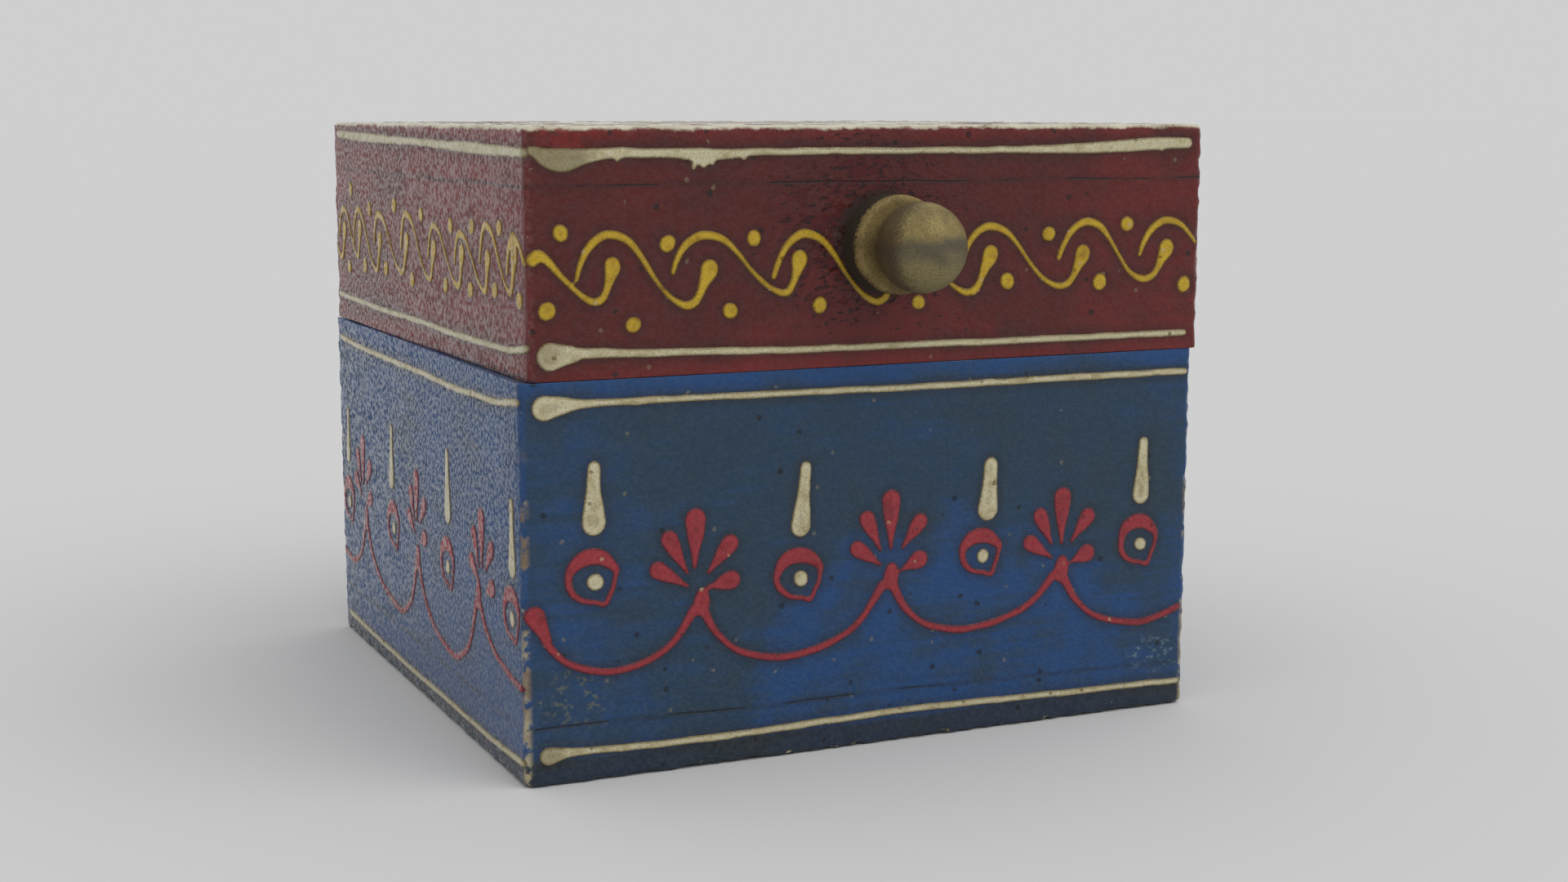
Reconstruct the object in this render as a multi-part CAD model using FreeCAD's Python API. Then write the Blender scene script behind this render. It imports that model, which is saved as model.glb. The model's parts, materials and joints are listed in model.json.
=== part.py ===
import FreeCAD, Part
import math
import os

# A painted wooden jack in the box, in millimetres.
# The origin is the middle of the underside, X runs along the front, -Y faces the viewer, Z is up.
# The base is a five-board tray, the lid a five-board cap on two butt hinges at the back.
# A ball knob on the lid front turns a latch tongue inside, and the jack stands on a coil spring.

V = FreeCAD.Vector

# Carcass
box_w = 102.0           # outside width of base and lid
box_d = 101.0           # outside depth
base_h = 52.9           # floor to the base's rim
lid_h = 32.2            # lid's rim to its top
rim_gap = 0.4           # between the two rims when shut
wall = 8.0              # front, back and side boards
board = 7.0             # bottom and top boards
corner_round = 1.4      # upright outer corners
edge_round = 1.0        # lower edge of the bottom and upper edge of the top
lid_shift = 1.3         # the lid sits this far to the right of the base

# Brads, set below the surface and painted over
brad_r = 0.6
brad_len = 16.0
brad_cover = 1.5
brad_inset = 22.0       # bottom and top brads, from the corners
brad_shares = (0.25, 0.75)  # wall brads, up the height of the boards

# Butt hinges let into the two rims, with the rear edges bevelled as the lid's stop
lid_open_deg = 110.0
hinge_inset = 0.8       # hinge axis in front of the back face
hinge_end = 23.0        # a hinge's middle to the end of the back board
hinge_len = 20.0
barrel_r = 1.7
hinge_pin_r = 0.8
leaf_t = 1.2
leaf_margin = 0.6       # a leaf's free edge to the board's inner face
knuckle_gap = 0.2
running = 0.05          # radial clearance of a turning pin
notch_gap = 0.3         # air round a barrel

# Countersunk screws
screw_r = 0.7
screw_head_r = 1.4
screw_head_h = 0.8
hinge_screw_len = 6.0
hinge_screw_pitch = 11.0
disc_screw_len = 7.0
disc_screw_ring_r = 8.0
disc_screws = 3

# Knob, its rose and the latch behind it
knob_drop = 16.0        # lid's top to the knob's axis
ball_r = 6.0
ball_out = 9.6          # lid's face to the ball's centre
ball_gap = 0.3          # ball to rose
rose_r = 6.7
rose_t = 4.4
rose_ease = 0.5
rose_shank_r = 3.2
spindle_r = 2.0
spindle_tail = 0.8      # past the nut
end_play = 0.1
washer_r = 3.6
washer_t = 0.6
tongue_t = 1.4
tongue_hub_r = 4.0
tongue_arm_w = 5.0
finger_w = 3.0
finger_lap = 4.0        # the finger's tip past the keeper pin
finger_gap = 0.5        # keeper pin to finger
nut_r = 3.2             # across corners, as a radius
nut_t = 2.2
keeper_below = 4.0      # base's rim to keeper pin
keeper_side = 6.6       # keeper pin to the left of the knob's axis
keeper_r = 1.2
keeper_depth = 5.0      # in the wood
keeper_past = 1.2       # beyond the tongue

# Spring, sleeve and the discs that hold them
disc_t = 3.0
base_disc_r = 24.0
top_disc_r = 18.5
wire_r = 0.6
coil_r = 14.5
coil_clear = 0.3        # one turn to a staple round the next
seat_gap = 0.3          # coil to disc
wire_bend_r = 1.2       # where the wire's end turns into its hole
wire_end = 1.2          # straight end in the disc
wire_hole_gap = 0.4
staple_r = 0.35
staple_gap = 0.2        # staple to coil
staple_leg = 2.2        # in the disc
staple_degs = (18.0, 52.0)
sleeve_in_r = 19.5
sleeve_out_r = 29.0
sleeve_pleats = 6
cloth_t = 0.3
sleeve_gap = 0.3        # sleeve to the discs above and below

# Jack's head, cap and ruff
head_r = 18.5
neck_r = 8.0
neck_h = 3.0
neck_bury = 1.5         # ball sinks onto the neck by this much
neck_screw_len = 14.0
nose_r = 3.0
nose_out = 1.2          # head's surface to the nose's centre
cap_t = 1.4
cap_gap = 0.3
cap_brow = 6.0          # brow line above the head's middle
horn_root_r = 8.5
horn_bend_r = 6.4
horn_fall_r = 4.4
horn_tip_r = 2.2
horn_rise = 17.0        # top of the horn's bend above the head's middle
horn_drop = 6.0         # horn's tip above the head's middle
horn_root = (0.25, 0.68)    # root, as shares of the horn's reach and rise
horn_bend = (0.55, 1.0)
horn_fall = (0.82, 0.86)
horn_clear = 7.0        # bell to the side boards
cap_clear = 3.0         # cap to the lid's underside
bell_r = 3.2
bell_sink = 0.5         # horn's tip into the bell
bell_slot = 0.8
ruff_r = 26.0
ruff_t = 3.0
ruff_gap = 0.3

# Places worked out from the sizes
half_w = box_w / 2
half_d = box_d / 2
lid_rim = base_h + rim_gap
lid_top = lid_rim + lid_h
lid_under = lid_top - board
inner_w = box_w - 2 * wall
leaf_reach = wall - hinge_inset - leaf_margin
hinge_y = half_d - hinge_inset
hinge_z = base_h + rim_gap / 2
knuckle_len = (hinge_len - 2 * knuckle_gap) / 3
knob_z = lid_top - knob_drop
front_inside = -half_d + wall
tongue_y = front_inside + end_play + washer_t
nut_y = tongue_y + tongue_t
keeper_fall = knob_z - (base_h - keeper_below)
keeper_reach = math.hypot(keeper_fall, keeper_side)
keeper_deg = 90 + math.degrees(math.atan2(keeper_side, keeper_fall))
finger_in_r = keeper_reach + keeper_r + finger_gap
finger_out_r = finger_in_r + finger_w
finger_deg = keeper_deg - 90 + math.degrees((keeper_r + finger_lap) / finger_in_r)

# With the lid shut the cap all but meets the lid, and the spring has the height that is left
head_z = lid_under - cap_clear - horn_bend_r - horn_rise
neck_foot = head_z - head_r + neck_bury - neck_h
top_disc_under = neck_foot - disc_t
disc_top = board + disc_t
spring_h = top_disc_under - disc_top
staple_bend_r = wire_r + staple_gap + staple_r
coil_room = spring_h - 2 * (wire_r + seat_gap)
coil_step_least = staple_bend_r + staple_r + coil_clear + wire_r
coil_turns = max(1, int(coil_room / coil_step_least))
coil_rise = coil_room / coil_turns
horn_reach = inner_w / 2 - horn_clear - 2 * bell_r
over = 5.0              # how far a cutting block runs past a face


# Helpers

def block(x0, x1, y0, y1, z0, z1):
    return Part.makeBox(x1 - x0, y1 - y0, z1 - z0, V(x0, y0, z0))


def rod(radius, length, start, direction):
    return Part.makeCylinder(radius, length, start, direction)


def extruded(points, direction):
    return Part.Face(Part.makePolygon(points + [points[0]])).extrude(direction)


def turned(profile):
    """A closed outline of (radius, height) points turned about Z."""
    points = [V(r, 0, z) for r, z in profile]
    face = Part.Face(Part.makePolygon(points + [points[0]]))
    return face.revolve(V(0, 0, 0), V(0, 0, 1), 360)


def joined(shapes):
    return shapes[0].multiFuse(shapes[1:]).removeSplitter()


def without(shape, tools):
    for tool in tools:
        shape = shape.cut(tool)
    return shape


def edges_where(shape, test):
    """Straight edges whose two ends both pass the test."""
    found = []
    for edge in shape.Edges:
        ends = [v.Point for v in edge.Vertexes]
        if len(ends) == 2 and test(ends[0], ends[1]):
            found.append(edge)
    return found


def near(a, b):
    return abs(a - b) < 1e-6


def upright_edges(shape, x_sides, y_sides):
    def test(p, q):
        on_x = any(near(p.x, x) and near(q.x, x) for x in x_sides)
        on_y = any(near(p.y, y) and near(q.y, y) for y in y_sides)
        return on_x and on_y and not near(p.z, q.z)
    return edges_where(shape, test)


def level_outline(shape, z):
    """Every edge, arcs included, that lies at one height."""
    found = []
    for edge in shape.Edges:
        span = edge.BoundBox
        if near(span.ZMin, z) and near(span.ZMax, z):
            found.append(edge)
    return found


# Fasteners

def brad(start, direction):
    return rod(brad_r, brad_len, start, direction)


def screw(top, direction, length):
    """A countersunk screw whose flat head lies at top, driven along direction."""
    head = Part.makeCone(screw_head_r, screw_r, screw_head_h, top, direction)
    shank = rod(screw_r, length - screw_head_h, top + direction * screw_head_h, direction)
    return head.fuse(shank)


def wall_brads(x_mid, z_low, z_high):
    """Brads through the front and back boards into the ends of the side boards."""
    made = []
    for side in (-1, 1):
        x = x_mid + side * (half_w - wall / 2)
        for share in brad_shares:
            z = z_low + share * (z_high - z_low)
            made.append(brad(V(x, -half_d + brad_cover, z), V(0, 1, 0)))
            made.append(brad(V(x, half_d - brad_cover, z), V(0, -1, 0)))
    return made


def plate_brads(x_mid, z_face, direction):
    """Brads through the bottom or top board into the front and back boards."""
    made = []
    for side in (-1, 1):
        for y in (-half_d + wall / 2, half_d - wall / 2):
            x = x_mid + side * (half_w - brad_inset)
            made.append(brad(V(x, y, z_face) + direction * brad_cover, direction))
    return made


# Hinges

def hinge_middles():
    return (hinge_end - half_w, half_w - hinge_end)


def knuckle(x_mid, place, bore_r):
    """One third of a barrel; place is -1, 0 or 1 along X."""
    x = x_mid + place * (knuckle_len + knuckle_gap) - knuckle_len / 2
    start = V(x, hinge_y, hinge_z)
    along = V(1, 0, 0)
    return rod(barrel_r, knuckle_len, start, along), rod(bore_r, knuckle_len, start, along)


def leaf_plate(x_mid, z0):
    left = x_mid - hinge_len / 2
    return block(left, left + hinge_len, hinge_y - leaf_reach, hinge_y, z0, z0 + leaf_t)


def hinge_leaf(x_mid, z0, own, other, bore_r, screws):
    """A flat leaf with knuckles at the places in own, cleared round those in other."""
    leaf = leaf_plate(x_mid, z0)
    for place in other:
        x = x_mid + place * (knuckle_len + knuckle_gap)
        reach = knuckle_len / 2 + knuckle_gap
        leaf = leaf.cut(block(x - reach, x + reach, hinge_y - barrel_r - notch_gap, hinge_y + over,
                              z0 - over, z0 + leaf_t + over))
    barrels, bores = zip(*[knuckle(x_mid, place, bore_r) for place in own])
    return without(joined([leaf, *barrels]), [*bores, *screws])


def hinge_screws(x_mid, z_face, direction):
    y = hinge_y - (leaf_reach + barrel_r) / 2
    return [screw(V(x_mid + side * hinge_screw_pitch / 2, y, z_face), direction, hinge_screw_len)
            for side in (-1, 1)]


def hinge_room(z0):
    """What is cut from a back board for both hinges: the leaf's seat and the barrel's notch."""
    tools = []
    for x_mid in hinge_middles():
        tools.append(leaf_plate(x_mid, z0))
        tools.append(rod(barrel_r + notch_gap, hinge_len + 2 * knuckle_gap,
                         V(x_mid - hinge_len / 2 - knuckle_gap, hinge_y, hinge_z), V(1, 0, 0)))
    return tools


def rear_bevel(z_rim, sign):
    """The wedge taken off a rear edge; the two bevels meet when the lid is fully open."""
    fall = (hinge_inset + over) * math.tan(math.radians(lid_open_deg / 2))
    rear = half_d + over
    points = [(hinge_y, z_rim), (rear, z_rim + sign * fall), (rear, z_rim - sign * over),
              (hinge_y, z_rim - sign * over)]
    left = -half_w - lid_shift - over
    return extruded([V(left, y, z) for y, z in points], V(box_w + 2 * (lid_shift + over), 0, 0))


# Boards

def wall_boards(x_mid, z0, z1):
    """The front, back, left and right boards of the base or the lid, before any holes."""
    left, right = x_mid - half_w, x_mid + half_w
    front = block(left, right, -half_d, front_inside, z0, z1)
    front = front.makeFillet(corner_round, upright_edges(front, (left, right), (-half_d,)))
    back = block(left, right, half_d - wall, half_d, z0, z1)
    back = back.makeFillet(corner_round, upright_edges(back, (left, right), (half_d,)))
    side_y = (front_inside, half_d - wall)
    return {"front": front, "back": back,
            "left": block(left, left + wall, *side_y, z0, z1),
            "right": block(right - wall, right, *side_y, z0, z1)}


def plate_board(x_mid, z0, eased_z):
    left, right = x_mid - half_w, x_mid + half_w
    plate = block(left, right, -half_d, half_d, z0, z0 + board)
    plate = plate.makeFillet(corner_round, upright_edges(plate, (left, right), (-half_d, half_d)))
    return plate.makeFillet(edge_round, level_outline(plate, eased_z))


# Latch, all in the plane of the lid's front and turning about the knob's axis

def about_knob(radius, degrees, y):
    """A point at that radius; degrees run from +X towards -Z, the way the knob turns to lock."""
    a = math.radians(degrees)
    return V(lid_shift + radius * math.cos(a), y, knob_z - radius * math.sin(a))


def knob_shape():
    axis = V(0, 1, 0)
    ball_y = -half_d - ball_out
    seat_y = -half_d - rose_t - ball_gap
    ball = Part.makeSphere(ball_r, V(lid_shift, ball_y, knob_z))
    ball = ball.cut(rod(2 * ball_r, 2 * ball_r, V(lid_shift, seat_y, knob_z), axis))
    spindle_end = nut_y + nut_t + spindle_tail
    return joined([ball, rod(spindle_r, spindle_end - ball_y, V(lid_shift, ball_y, knob_z), axis)])


def rose_outer():
    """The knob's rose on the lid's face, with a shank that lines the hole."""
    face = V(lid_shift, -half_d, knob_z)
    disc = rod(rose_r, rose_t, face, V(0, -1, 0))
    front_rim = [edge for edge in disc.Edges if near(edge.BoundBox.YMax, -half_d - rose_t)]
    return joined([disc.makeFillet(rose_ease, front_rim), rod(rose_shank_r, wall, face, V(0, 1, 0))])


def on_spindle(radius, y, thickness):
    return rod(radius, thickness, V(lid_shift, y, knob_z), V(0, 1, 0))


def washer_shape():
    y = front_inside + end_play
    return on_spindle(washer_r, y, washer_t).cut(on_spindle(spindle_r, y, washer_t))


def tongue_shape():
    """A hub, an arm and a finger on a circle round the knob's axis, which hooks under the keeper."""
    hub = on_spindle(tongue_hub_r, tongue_y, tongue_t)
    half_arm = tongue_arm_w / 2
    arm = block(lid_shift, lid_shift + finger_out_r - half_arm, tongue_y, tongue_y + tongue_t,
                knob_z - half_arm, knob_z + half_arm)
    ends = [0.0, finger_deg / 2, finger_deg]
    outer = Part.Arc(*[about_knob(finger_out_r, a, tongue_y) for a in ends])
    inner = Part.Arc(*[about_knob(finger_in_r, a, tongue_y) for a in reversed(ends)])
    tip = Part.LineSegment(outer.EndPoint, inner.StartPoint)
    root = Part.LineSegment(inner.EndPoint, outer.StartPoint)
    outline = Part.Wire([part.toShape() for part in (outer, tip, inner, root)])
    finger = Part.Face(outline).extrude(V(0, tongue_t, 0))
    knee = rod(half_arm, tongue_t, about_knob(finger_out_r - half_arm, 0, tongue_y), V(0, 1, 0))
    return joined([hub, arm, finger, knee]).cut(on_spindle(spindle_r, tongue_y, tongue_t))


def nut_shape():
    corners = [about_knob(nut_r, 60 * i, nut_y) for i in range(6)]
    return extruded(corners, V(0, nut_t, 0)).cut(on_spindle(spindle_r, nut_y, nut_t))


def keeper_shape():
    place = about_knob(keeper_reach, keeper_deg, front_inside - keeper_depth)
    return rod(keeper_r, nut_y + keeper_past - place.y, place, V(0, 1, 0))


# Spring and sleeve

def coil_place(degrees):
    a = math.radians(degrees)
    z = disc_top + seat_gap + wire_r + coil_rise * degrees / 360
    return V(coil_r * math.cos(a), coil_r * math.sin(a), z)


def coil_heading(degrees):
    a = math.radians(degrees)
    climb = coil_rise / (2 * math.pi)
    return V(-coil_r * math.sin(a), coil_r * math.cos(a), climb).normalize()


def arc_from(start, corner, end):
    """The arc that leaves start towards corner and reaches end coming from it."""
    middle = (start + end) * 0.5
    half_turn = (corner - start).getAngle(end - start)
    top = corner + (middle - corner) * (1 / (1 + math.cos(half_turn)))
    return Part.Arc(start, top, end).toShape()


def biarc(p, t, q, u):
    """Two arcs that leave p along t, meet smoothly and reach q along u."""
    span = q - p
    both = t + u
    spread = 2 * (1 - t.dot(u))
    along = span.dot(both)
    reach = (-along + math.sqrt(along * along + spread * span.dot(span))) / spread
    first, second = p + t * reach, q - u * reach
    meet = (first + second) * 0.5
    return [arc_from(p, first, meet), arc_from(meet, second, q)]


def wire_end_points(degrees, sign):
    """Tip, foot of the bend and corner of one end; sign is -1 at the bottom and 1 at the top."""
    upright = V(0, 0, sign)
    along = coil_heading(degrees) * sign
    to_corner = wire_bend_r * math.tan(along.getAngle(upright) / 2)
    corner = coil_place(degrees) + along * to_corner
    foot = corner + upright * to_corner
    return foot + upright * wire_end, foot, corner


def coil_shape():
    """The wire comes up out of the lower disc, winds, and goes on up into the upper disc."""
    quarter = 90
    last = coil_turns * 360
    low_tip, low_foot, low_corner = wire_end_points(0, -1)
    high_tip, high_foot, high_corner = wire_end_points(last, 1)
    edges = [Part.LineSegment(low_tip, low_foot).toShape(), arc_from(low_foot, low_corner, coil_place(0))]
    for a in range(0, last, quarter):
        b = a + quarter
        edges += biarc(coil_place(a), coil_heading(a), coil_place(b), coil_heading(b))
    edges.append(arc_from(coil_place(last), high_corner, high_foot))
    edges.append(Part.LineSegment(high_foot, high_tip).toShape())
    section = Part.Wire(Part.Circle(low_tip, V(0, 0, 1), wire_r).toShape())
    pipe = Part.BRepOffsetAPI.MakePipeShell(Part.Wire(edges))
    pipe.add(section)
    pipe.build()
    pipe.makeSolid()
    return pipe.shape()


def wire_hole(degrees, sign):
    tip, foot, corner = wire_end_points(degrees, sign)
    reach = (corner - tip).Length + wire_r
    start = tip + V(0, 0, sign * wire_hole_gap)
    return rod(wire_r + wire_hole_gap, reach + wire_hole_gap, start, V(0, 0, -sign))


def coil_least_gap():
    step = 10
    points = [coil_place(a) for a in range(0, coil_turns * 360 + 1, step)]
    apart = 180 // step
    least = min((points[i] - points[j]).Length
                for i in range(len(points)) for j in range(i + apart, len(points)))
    return least - 2 * wire_r


def staple(degrees, disc_face, up):
    """A wire staple over the coil, both legs in the disc; up is 1 below the coil and -1 above it."""
    place = coil_place(degrees)
    a = math.radians(degrees)
    outward = V(math.cos(a), math.sin(a), 0)
    along = V(-math.sin(a), math.cos(a), 0)
    arch = Part.makeTorus(staple_bend_r, staple_r, place, along)
    arch = arch.cut(rod(staple_bend_r + over, over, place, V(0, 0, -up)))
    legs = []
    for side in (-1, 1):
        foot = V(place.x, place.y, disc_face - up * staple_leg) + outward * (side * staple_bend_r)
        legs.append(rod(staple_r, abs(place.z - foot.z), foot, V(0, 0, up)))
    return joined([arch, *legs])


def staples_at(ends, disc_face, up):
    return [staple(degrees, disc_face, up) for degrees in ends]


def sleeve_shape():
    """A pleated cloth tube: a zigzag wall of even thickness turned about the spring."""
    low, high = disc_top + sleeve_gap, top_disc_under - sleeve_gap
    fold = (high - low) / (2 * sleeve_pleats)
    slant = math.hypot(sleeve_out_r - sleeve_in_r, fold)
    inward = cloth_t * slant / fold
    outside = []
    for i in range(2 * sleeve_pleats + 1):
        outside.append((sleeve_out_r if i % 2 else sleeve_in_r, low + i * fold))
    inside = [(r - inward, z) for r, z in reversed(outside)]
    return turned(outside + inside)


# Jack

def head_shape():
    ball = Part.makeSphere(head_r, V(0, 0, head_z))
    return joined([ball, rod(neck_r, head_z - neck_foot, V(0, 0, neck_foot), V(0, 0, 1))])


def horn_stations(side):
    """Middles and radii of a horn's rings, from its root in the crown to its hanging tip."""
    rings = [(out * horn_reach, up * horn_rise, r) for (out, up), r in
             ((horn_root, horn_root_r), (horn_bend, horn_bend_r), (horn_fall, horn_fall_r))]
    rings.append((horn_reach, horn_drop, horn_tip_r))
    return [(V(side * x, 0, head_z + z), r) for x, z, r in rings]


def horn_shape(side):
    """A soft horn that rises from the crown, bends over and hangs."""
    stations = horn_stations(side)
    last = len(stations) - 1
    wires = []
    for i, (middle, r) in enumerate(stations):
        heading = stations[min(i + 1, last)][0] - stations[max(i - 1, 0)][0]
        wires.append(Part.Wire(Part.Circle(middle, heading, r).toShape()))
    return Part.makeLoft(wires, True, False)


def cap_shape(horns):
    crown = Part.makeSphere(head_r + cap_gap + cap_t, V(0, 0, head_z))
    brow = head_z + cap_brow
    reach = head_r + cap_t + over
    crown = crown.cut(block(-reach, reach, -reach, reach, brow - 2 * reach, brow))
    inside = Part.makeSphere(head_r + cap_gap, V(0, 0, head_z))
    return joined([crown, *horns]).cut(inside)


def bell_shape(side):
    """A round bell on the horn's tip, slotted from below."""
    (before, _), (tip, _) = horn_stations(side)[-2:]
    place = tip + (tip - before).normalize() * (bell_r - bell_sink)
    slot = block(place.x - 2 * bell_r, place.x + 2 * bell_r, -bell_slot / 2, bell_slot / 2,
                 place.z - 2 * bell_r, place.z - bell_r / 2)
    return Part.makeSphere(bell_r, place).cut(slot)


def ruff_shape():
    foot = neck_foot + ruff_gap
    inner = neck_r + ruff_gap
    edge = ruff_t / 4
    top = foot + ruff_t
    return turned([(inner, foot), (ruff_r, foot + edge), (ruff_r, top - edge), (inner, top)])


# Assembly

parts = {}


def make_base():
    boards = wall_boards(0, board, base_h)
    plate = plate_board(0, 0, 0)
    brads = wall_brads(0, board, base_h) + plate_brads(0, 0, V(0, 0, 1))
    keeper = keeper_shape()
    leaf_screws = {x: hinge_screws(x, base_h, V(0, 0, -1)) for x in hinge_middles()}
    all_leaf_screws = [s for group in leaf_screws.values() for s in group]
    back_tools = [rear_bevel(base_h, -1), *hinge_room(base_h - leaf_t), *all_leaf_screws]
    disc = rod(base_disc_r, disc_t, V(0, 0, board), V(0, 0, 1))
    ring = [360 * i / disc_screws for i in range(disc_screws)]
    into_floor = []
    for degrees in ring:
        a = math.radians(degrees)
        top = V(disc_screw_ring_r * math.cos(a), disc_screw_ring_r * math.sin(a), disc_top)
        into_floor.append(screw(top, V(0, 0, -1), disc_screw_len))
    staples = staples_at(staple_degs, disc_top, 1)
    parts["bottom_board"] = without(plate, brads + into_floor)
    parts["base_front_board"] = without(boards["front"], [*brads, keeper])
    parts["base_back_board"] = without(boards["back"], back_tools + brads)
    parts["base_left_board"] = without(boards["left"], brads)
    parts["base_right_board"] = without(boards["right"], brads)
    parts["base_brads"] = Part.makeCompound(brads)
    parts["keeper_pin"] = keeper
    for name, x in zip(("left", "right"), hinge_middles()):
        leaf = hinge_leaf(x, base_h - leaf_t, (-1, 1), (0,), hinge_pin_r, leaf_screws[x])
        parts[f"hinge_base_leaf_{name}"] = leaf
        start = V(x - hinge_len / 2, hinge_y, hinge_z)
        parts[f"hinge_pin_{name}"] = rod(hinge_pin_r, hinge_len, start, V(1, 0, 0))
    parts["hinge_base_screws"] = Part.makeCompound(all_leaf_screws)
    parts["spring_base_disc"] = without(disc, [*into_floor, *staples, wire_hole(0, -1)])
    parts["disc_screws"] = Part.makeCompound(into_floor)
    parts["lower_staples"] = Part.makeCompound(staples)
    parts["coil_spring"] = coil_shape()
    parts["cloth_sleeve"] = sleeve_shape()


def make_lid():
    boards = wall_boards(lid_shift, lid_rim, lid_under)
    plate = plate_board(lid_shift, lid_under, lid_top)
    brads = wall_brads(lid_shift, lid_rim, lid_under) + plate_brads(lid_shift, lid_top, V(0, 0, -1))
    rose = rose_outer()
    leaf_screws = {x: hinge_screws(x, lid_rim, V(0, 0, 1)) for x in hinge_middles()}
    all_leaf_screws = [s for group in leaf_screws.values() for s in group]
    back_tools = [rear_bevel(lid_rim, 1), *hinge_room(lid_rim), *all_leaf_screws]
    bore = rod(spindle_r + running, rose_t + wall, V(lid_shift, -half_d - rose_t, knob_z), V(0, 1, 0))
    parts["top_board"] = without(plate, brads)
    parts["lid_front_board"] = without(boards["front"], [*brads, rose])
    parts["lid_back_board"] = without(boards["back"], back_tools + brads)
    parts["lid_left_board"] = without(boards["left"], brads)
    parts["lid_right_board"] = without(boards["right"], brads)
    parts["lid_brads"] = Part.makeCompound(brads)
    parts["knob_rose"] = rose.cut(bore)
    for name, x in zip(("left", "right"), hinge_middles()):
        leaf = hinge_leaf(x, lid_rim, (0,), (-1, 1), hinge_pin_r + running, leaf_screws[x])
        parts[f"hinge_lid_leaf_{name}"] = leaf
    parts["hinge_lid_screws"] = Part.makeCompound(all_leaf_screws)


def make_knob():
    parts["knob_ball"] = knob_shape()
    parts["tongue_washer"] = washer_shape()
    parts["latch_tongue"] = tongue_shape()
    parts["spindle_nut"] = nut_shape()


def make_jack():
    disc = rod(top_disc_r, disc_t, V(0, 0, top_disc_under), V(0, 0, 1))
    last = coil_turns * 360
    staples = staples_at([last - degrees for degrees in staple_degs], top_disc_under, -1)
    fixing = screw(V(0, 0, top_disc_under), V(0, 0, 1), neck_screw_len)
    head = head_shape()
    horns = [horn_shape(side) for side in (-1, 1)]
    cap = cap_shape(horns)
    parts["spring_top_disc"] = without(disc, [fixing, *staples, wire_hole(last, 1)])
    parts["upper_staples"] = Part.makeCompound(staples)
    parts["neck_screw"] = fixing
    parts["jack_head"] = head.cut(fixing)
    parts["nose_bead"] = Part.makeSphere(nose_r, V(0, -head_r - nose_out, head_z)).cut(head)
    parts["felt_cap"] = cap
    parts["cap_bells"] = Part.makeCompound([bell_shape(side).cut(cap) for side in (-1, 1)])
    parts["neck_ruff"] = ruff_shape().cut(Part.makeSphere(head_r + ruff_gap, V(0, 0, head_z)))


def main():
    make_base()
    make_lid()
    make_knob()
    make_jack()
    os.makedirs("parts", exist_ok=True)
    for name, shape in parts.items():
        shape.exportStep(f"parts/{name}.step")
    print("nodes", len(parts), "overall height", round(lid_top, 2))
    print("spring:", coil_turns, "turns, least gap to itself", round(coil_least_gap(), 2), "mm")
    print("sound solids:", all(shape.isValid() and shape.Solids for shape in parts.values()))


main()
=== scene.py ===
# %% [markdown]
# # A painted jack in the box
# The toy's construction is finished and packed: boards, hinges, latch, spring and jack, each in its
# place. This lesson dresses that frame. It rebuilds the boards with worn edges, pipes the ornament on
# them, gives every material its age, and sews the jack's clothes. Lengths are written in millimetres.

import json
import math

import bpy
import numpy as np
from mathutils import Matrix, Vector
from mathutils.bvhtree import BVHTree
from mathutils.kdtree import KDTree

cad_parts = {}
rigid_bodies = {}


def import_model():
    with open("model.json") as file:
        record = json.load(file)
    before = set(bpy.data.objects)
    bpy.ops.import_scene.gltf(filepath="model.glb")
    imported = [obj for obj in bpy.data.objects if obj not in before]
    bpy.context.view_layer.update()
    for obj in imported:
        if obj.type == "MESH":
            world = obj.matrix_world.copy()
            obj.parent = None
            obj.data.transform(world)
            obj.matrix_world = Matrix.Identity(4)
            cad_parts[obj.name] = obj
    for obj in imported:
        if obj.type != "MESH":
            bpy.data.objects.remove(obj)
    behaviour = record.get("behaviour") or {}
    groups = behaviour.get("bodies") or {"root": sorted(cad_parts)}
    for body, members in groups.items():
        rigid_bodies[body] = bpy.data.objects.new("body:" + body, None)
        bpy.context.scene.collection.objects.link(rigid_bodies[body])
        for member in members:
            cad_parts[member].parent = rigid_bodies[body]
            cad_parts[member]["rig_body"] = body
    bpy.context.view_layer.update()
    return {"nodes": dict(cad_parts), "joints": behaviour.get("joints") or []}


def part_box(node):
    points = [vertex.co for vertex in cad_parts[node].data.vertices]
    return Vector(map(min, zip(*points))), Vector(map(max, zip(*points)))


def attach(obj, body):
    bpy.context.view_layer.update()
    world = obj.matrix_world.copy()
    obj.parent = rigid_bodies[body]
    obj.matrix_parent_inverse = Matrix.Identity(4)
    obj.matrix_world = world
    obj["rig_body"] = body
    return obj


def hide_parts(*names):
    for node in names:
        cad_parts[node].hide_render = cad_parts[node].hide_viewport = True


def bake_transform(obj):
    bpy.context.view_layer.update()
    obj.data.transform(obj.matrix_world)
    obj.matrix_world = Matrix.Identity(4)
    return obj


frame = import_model()
nodes = frame["nodes"]
mm = 0.001

# %% [markdown]
# ## Camera, floor and light
# The box is seen from the left front, a little from above, with a 50 mm lens. Its place was found by
# fitting the box's corners. A large pale floor under a grey sky gives the plain studio. The sky is
# brighter overhead, as under a studio's ceiling light, and one weak, wide sun from the upper right shapes
# the knob. The floor's grey is worked out so that lit floor and horizon look the same.

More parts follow.
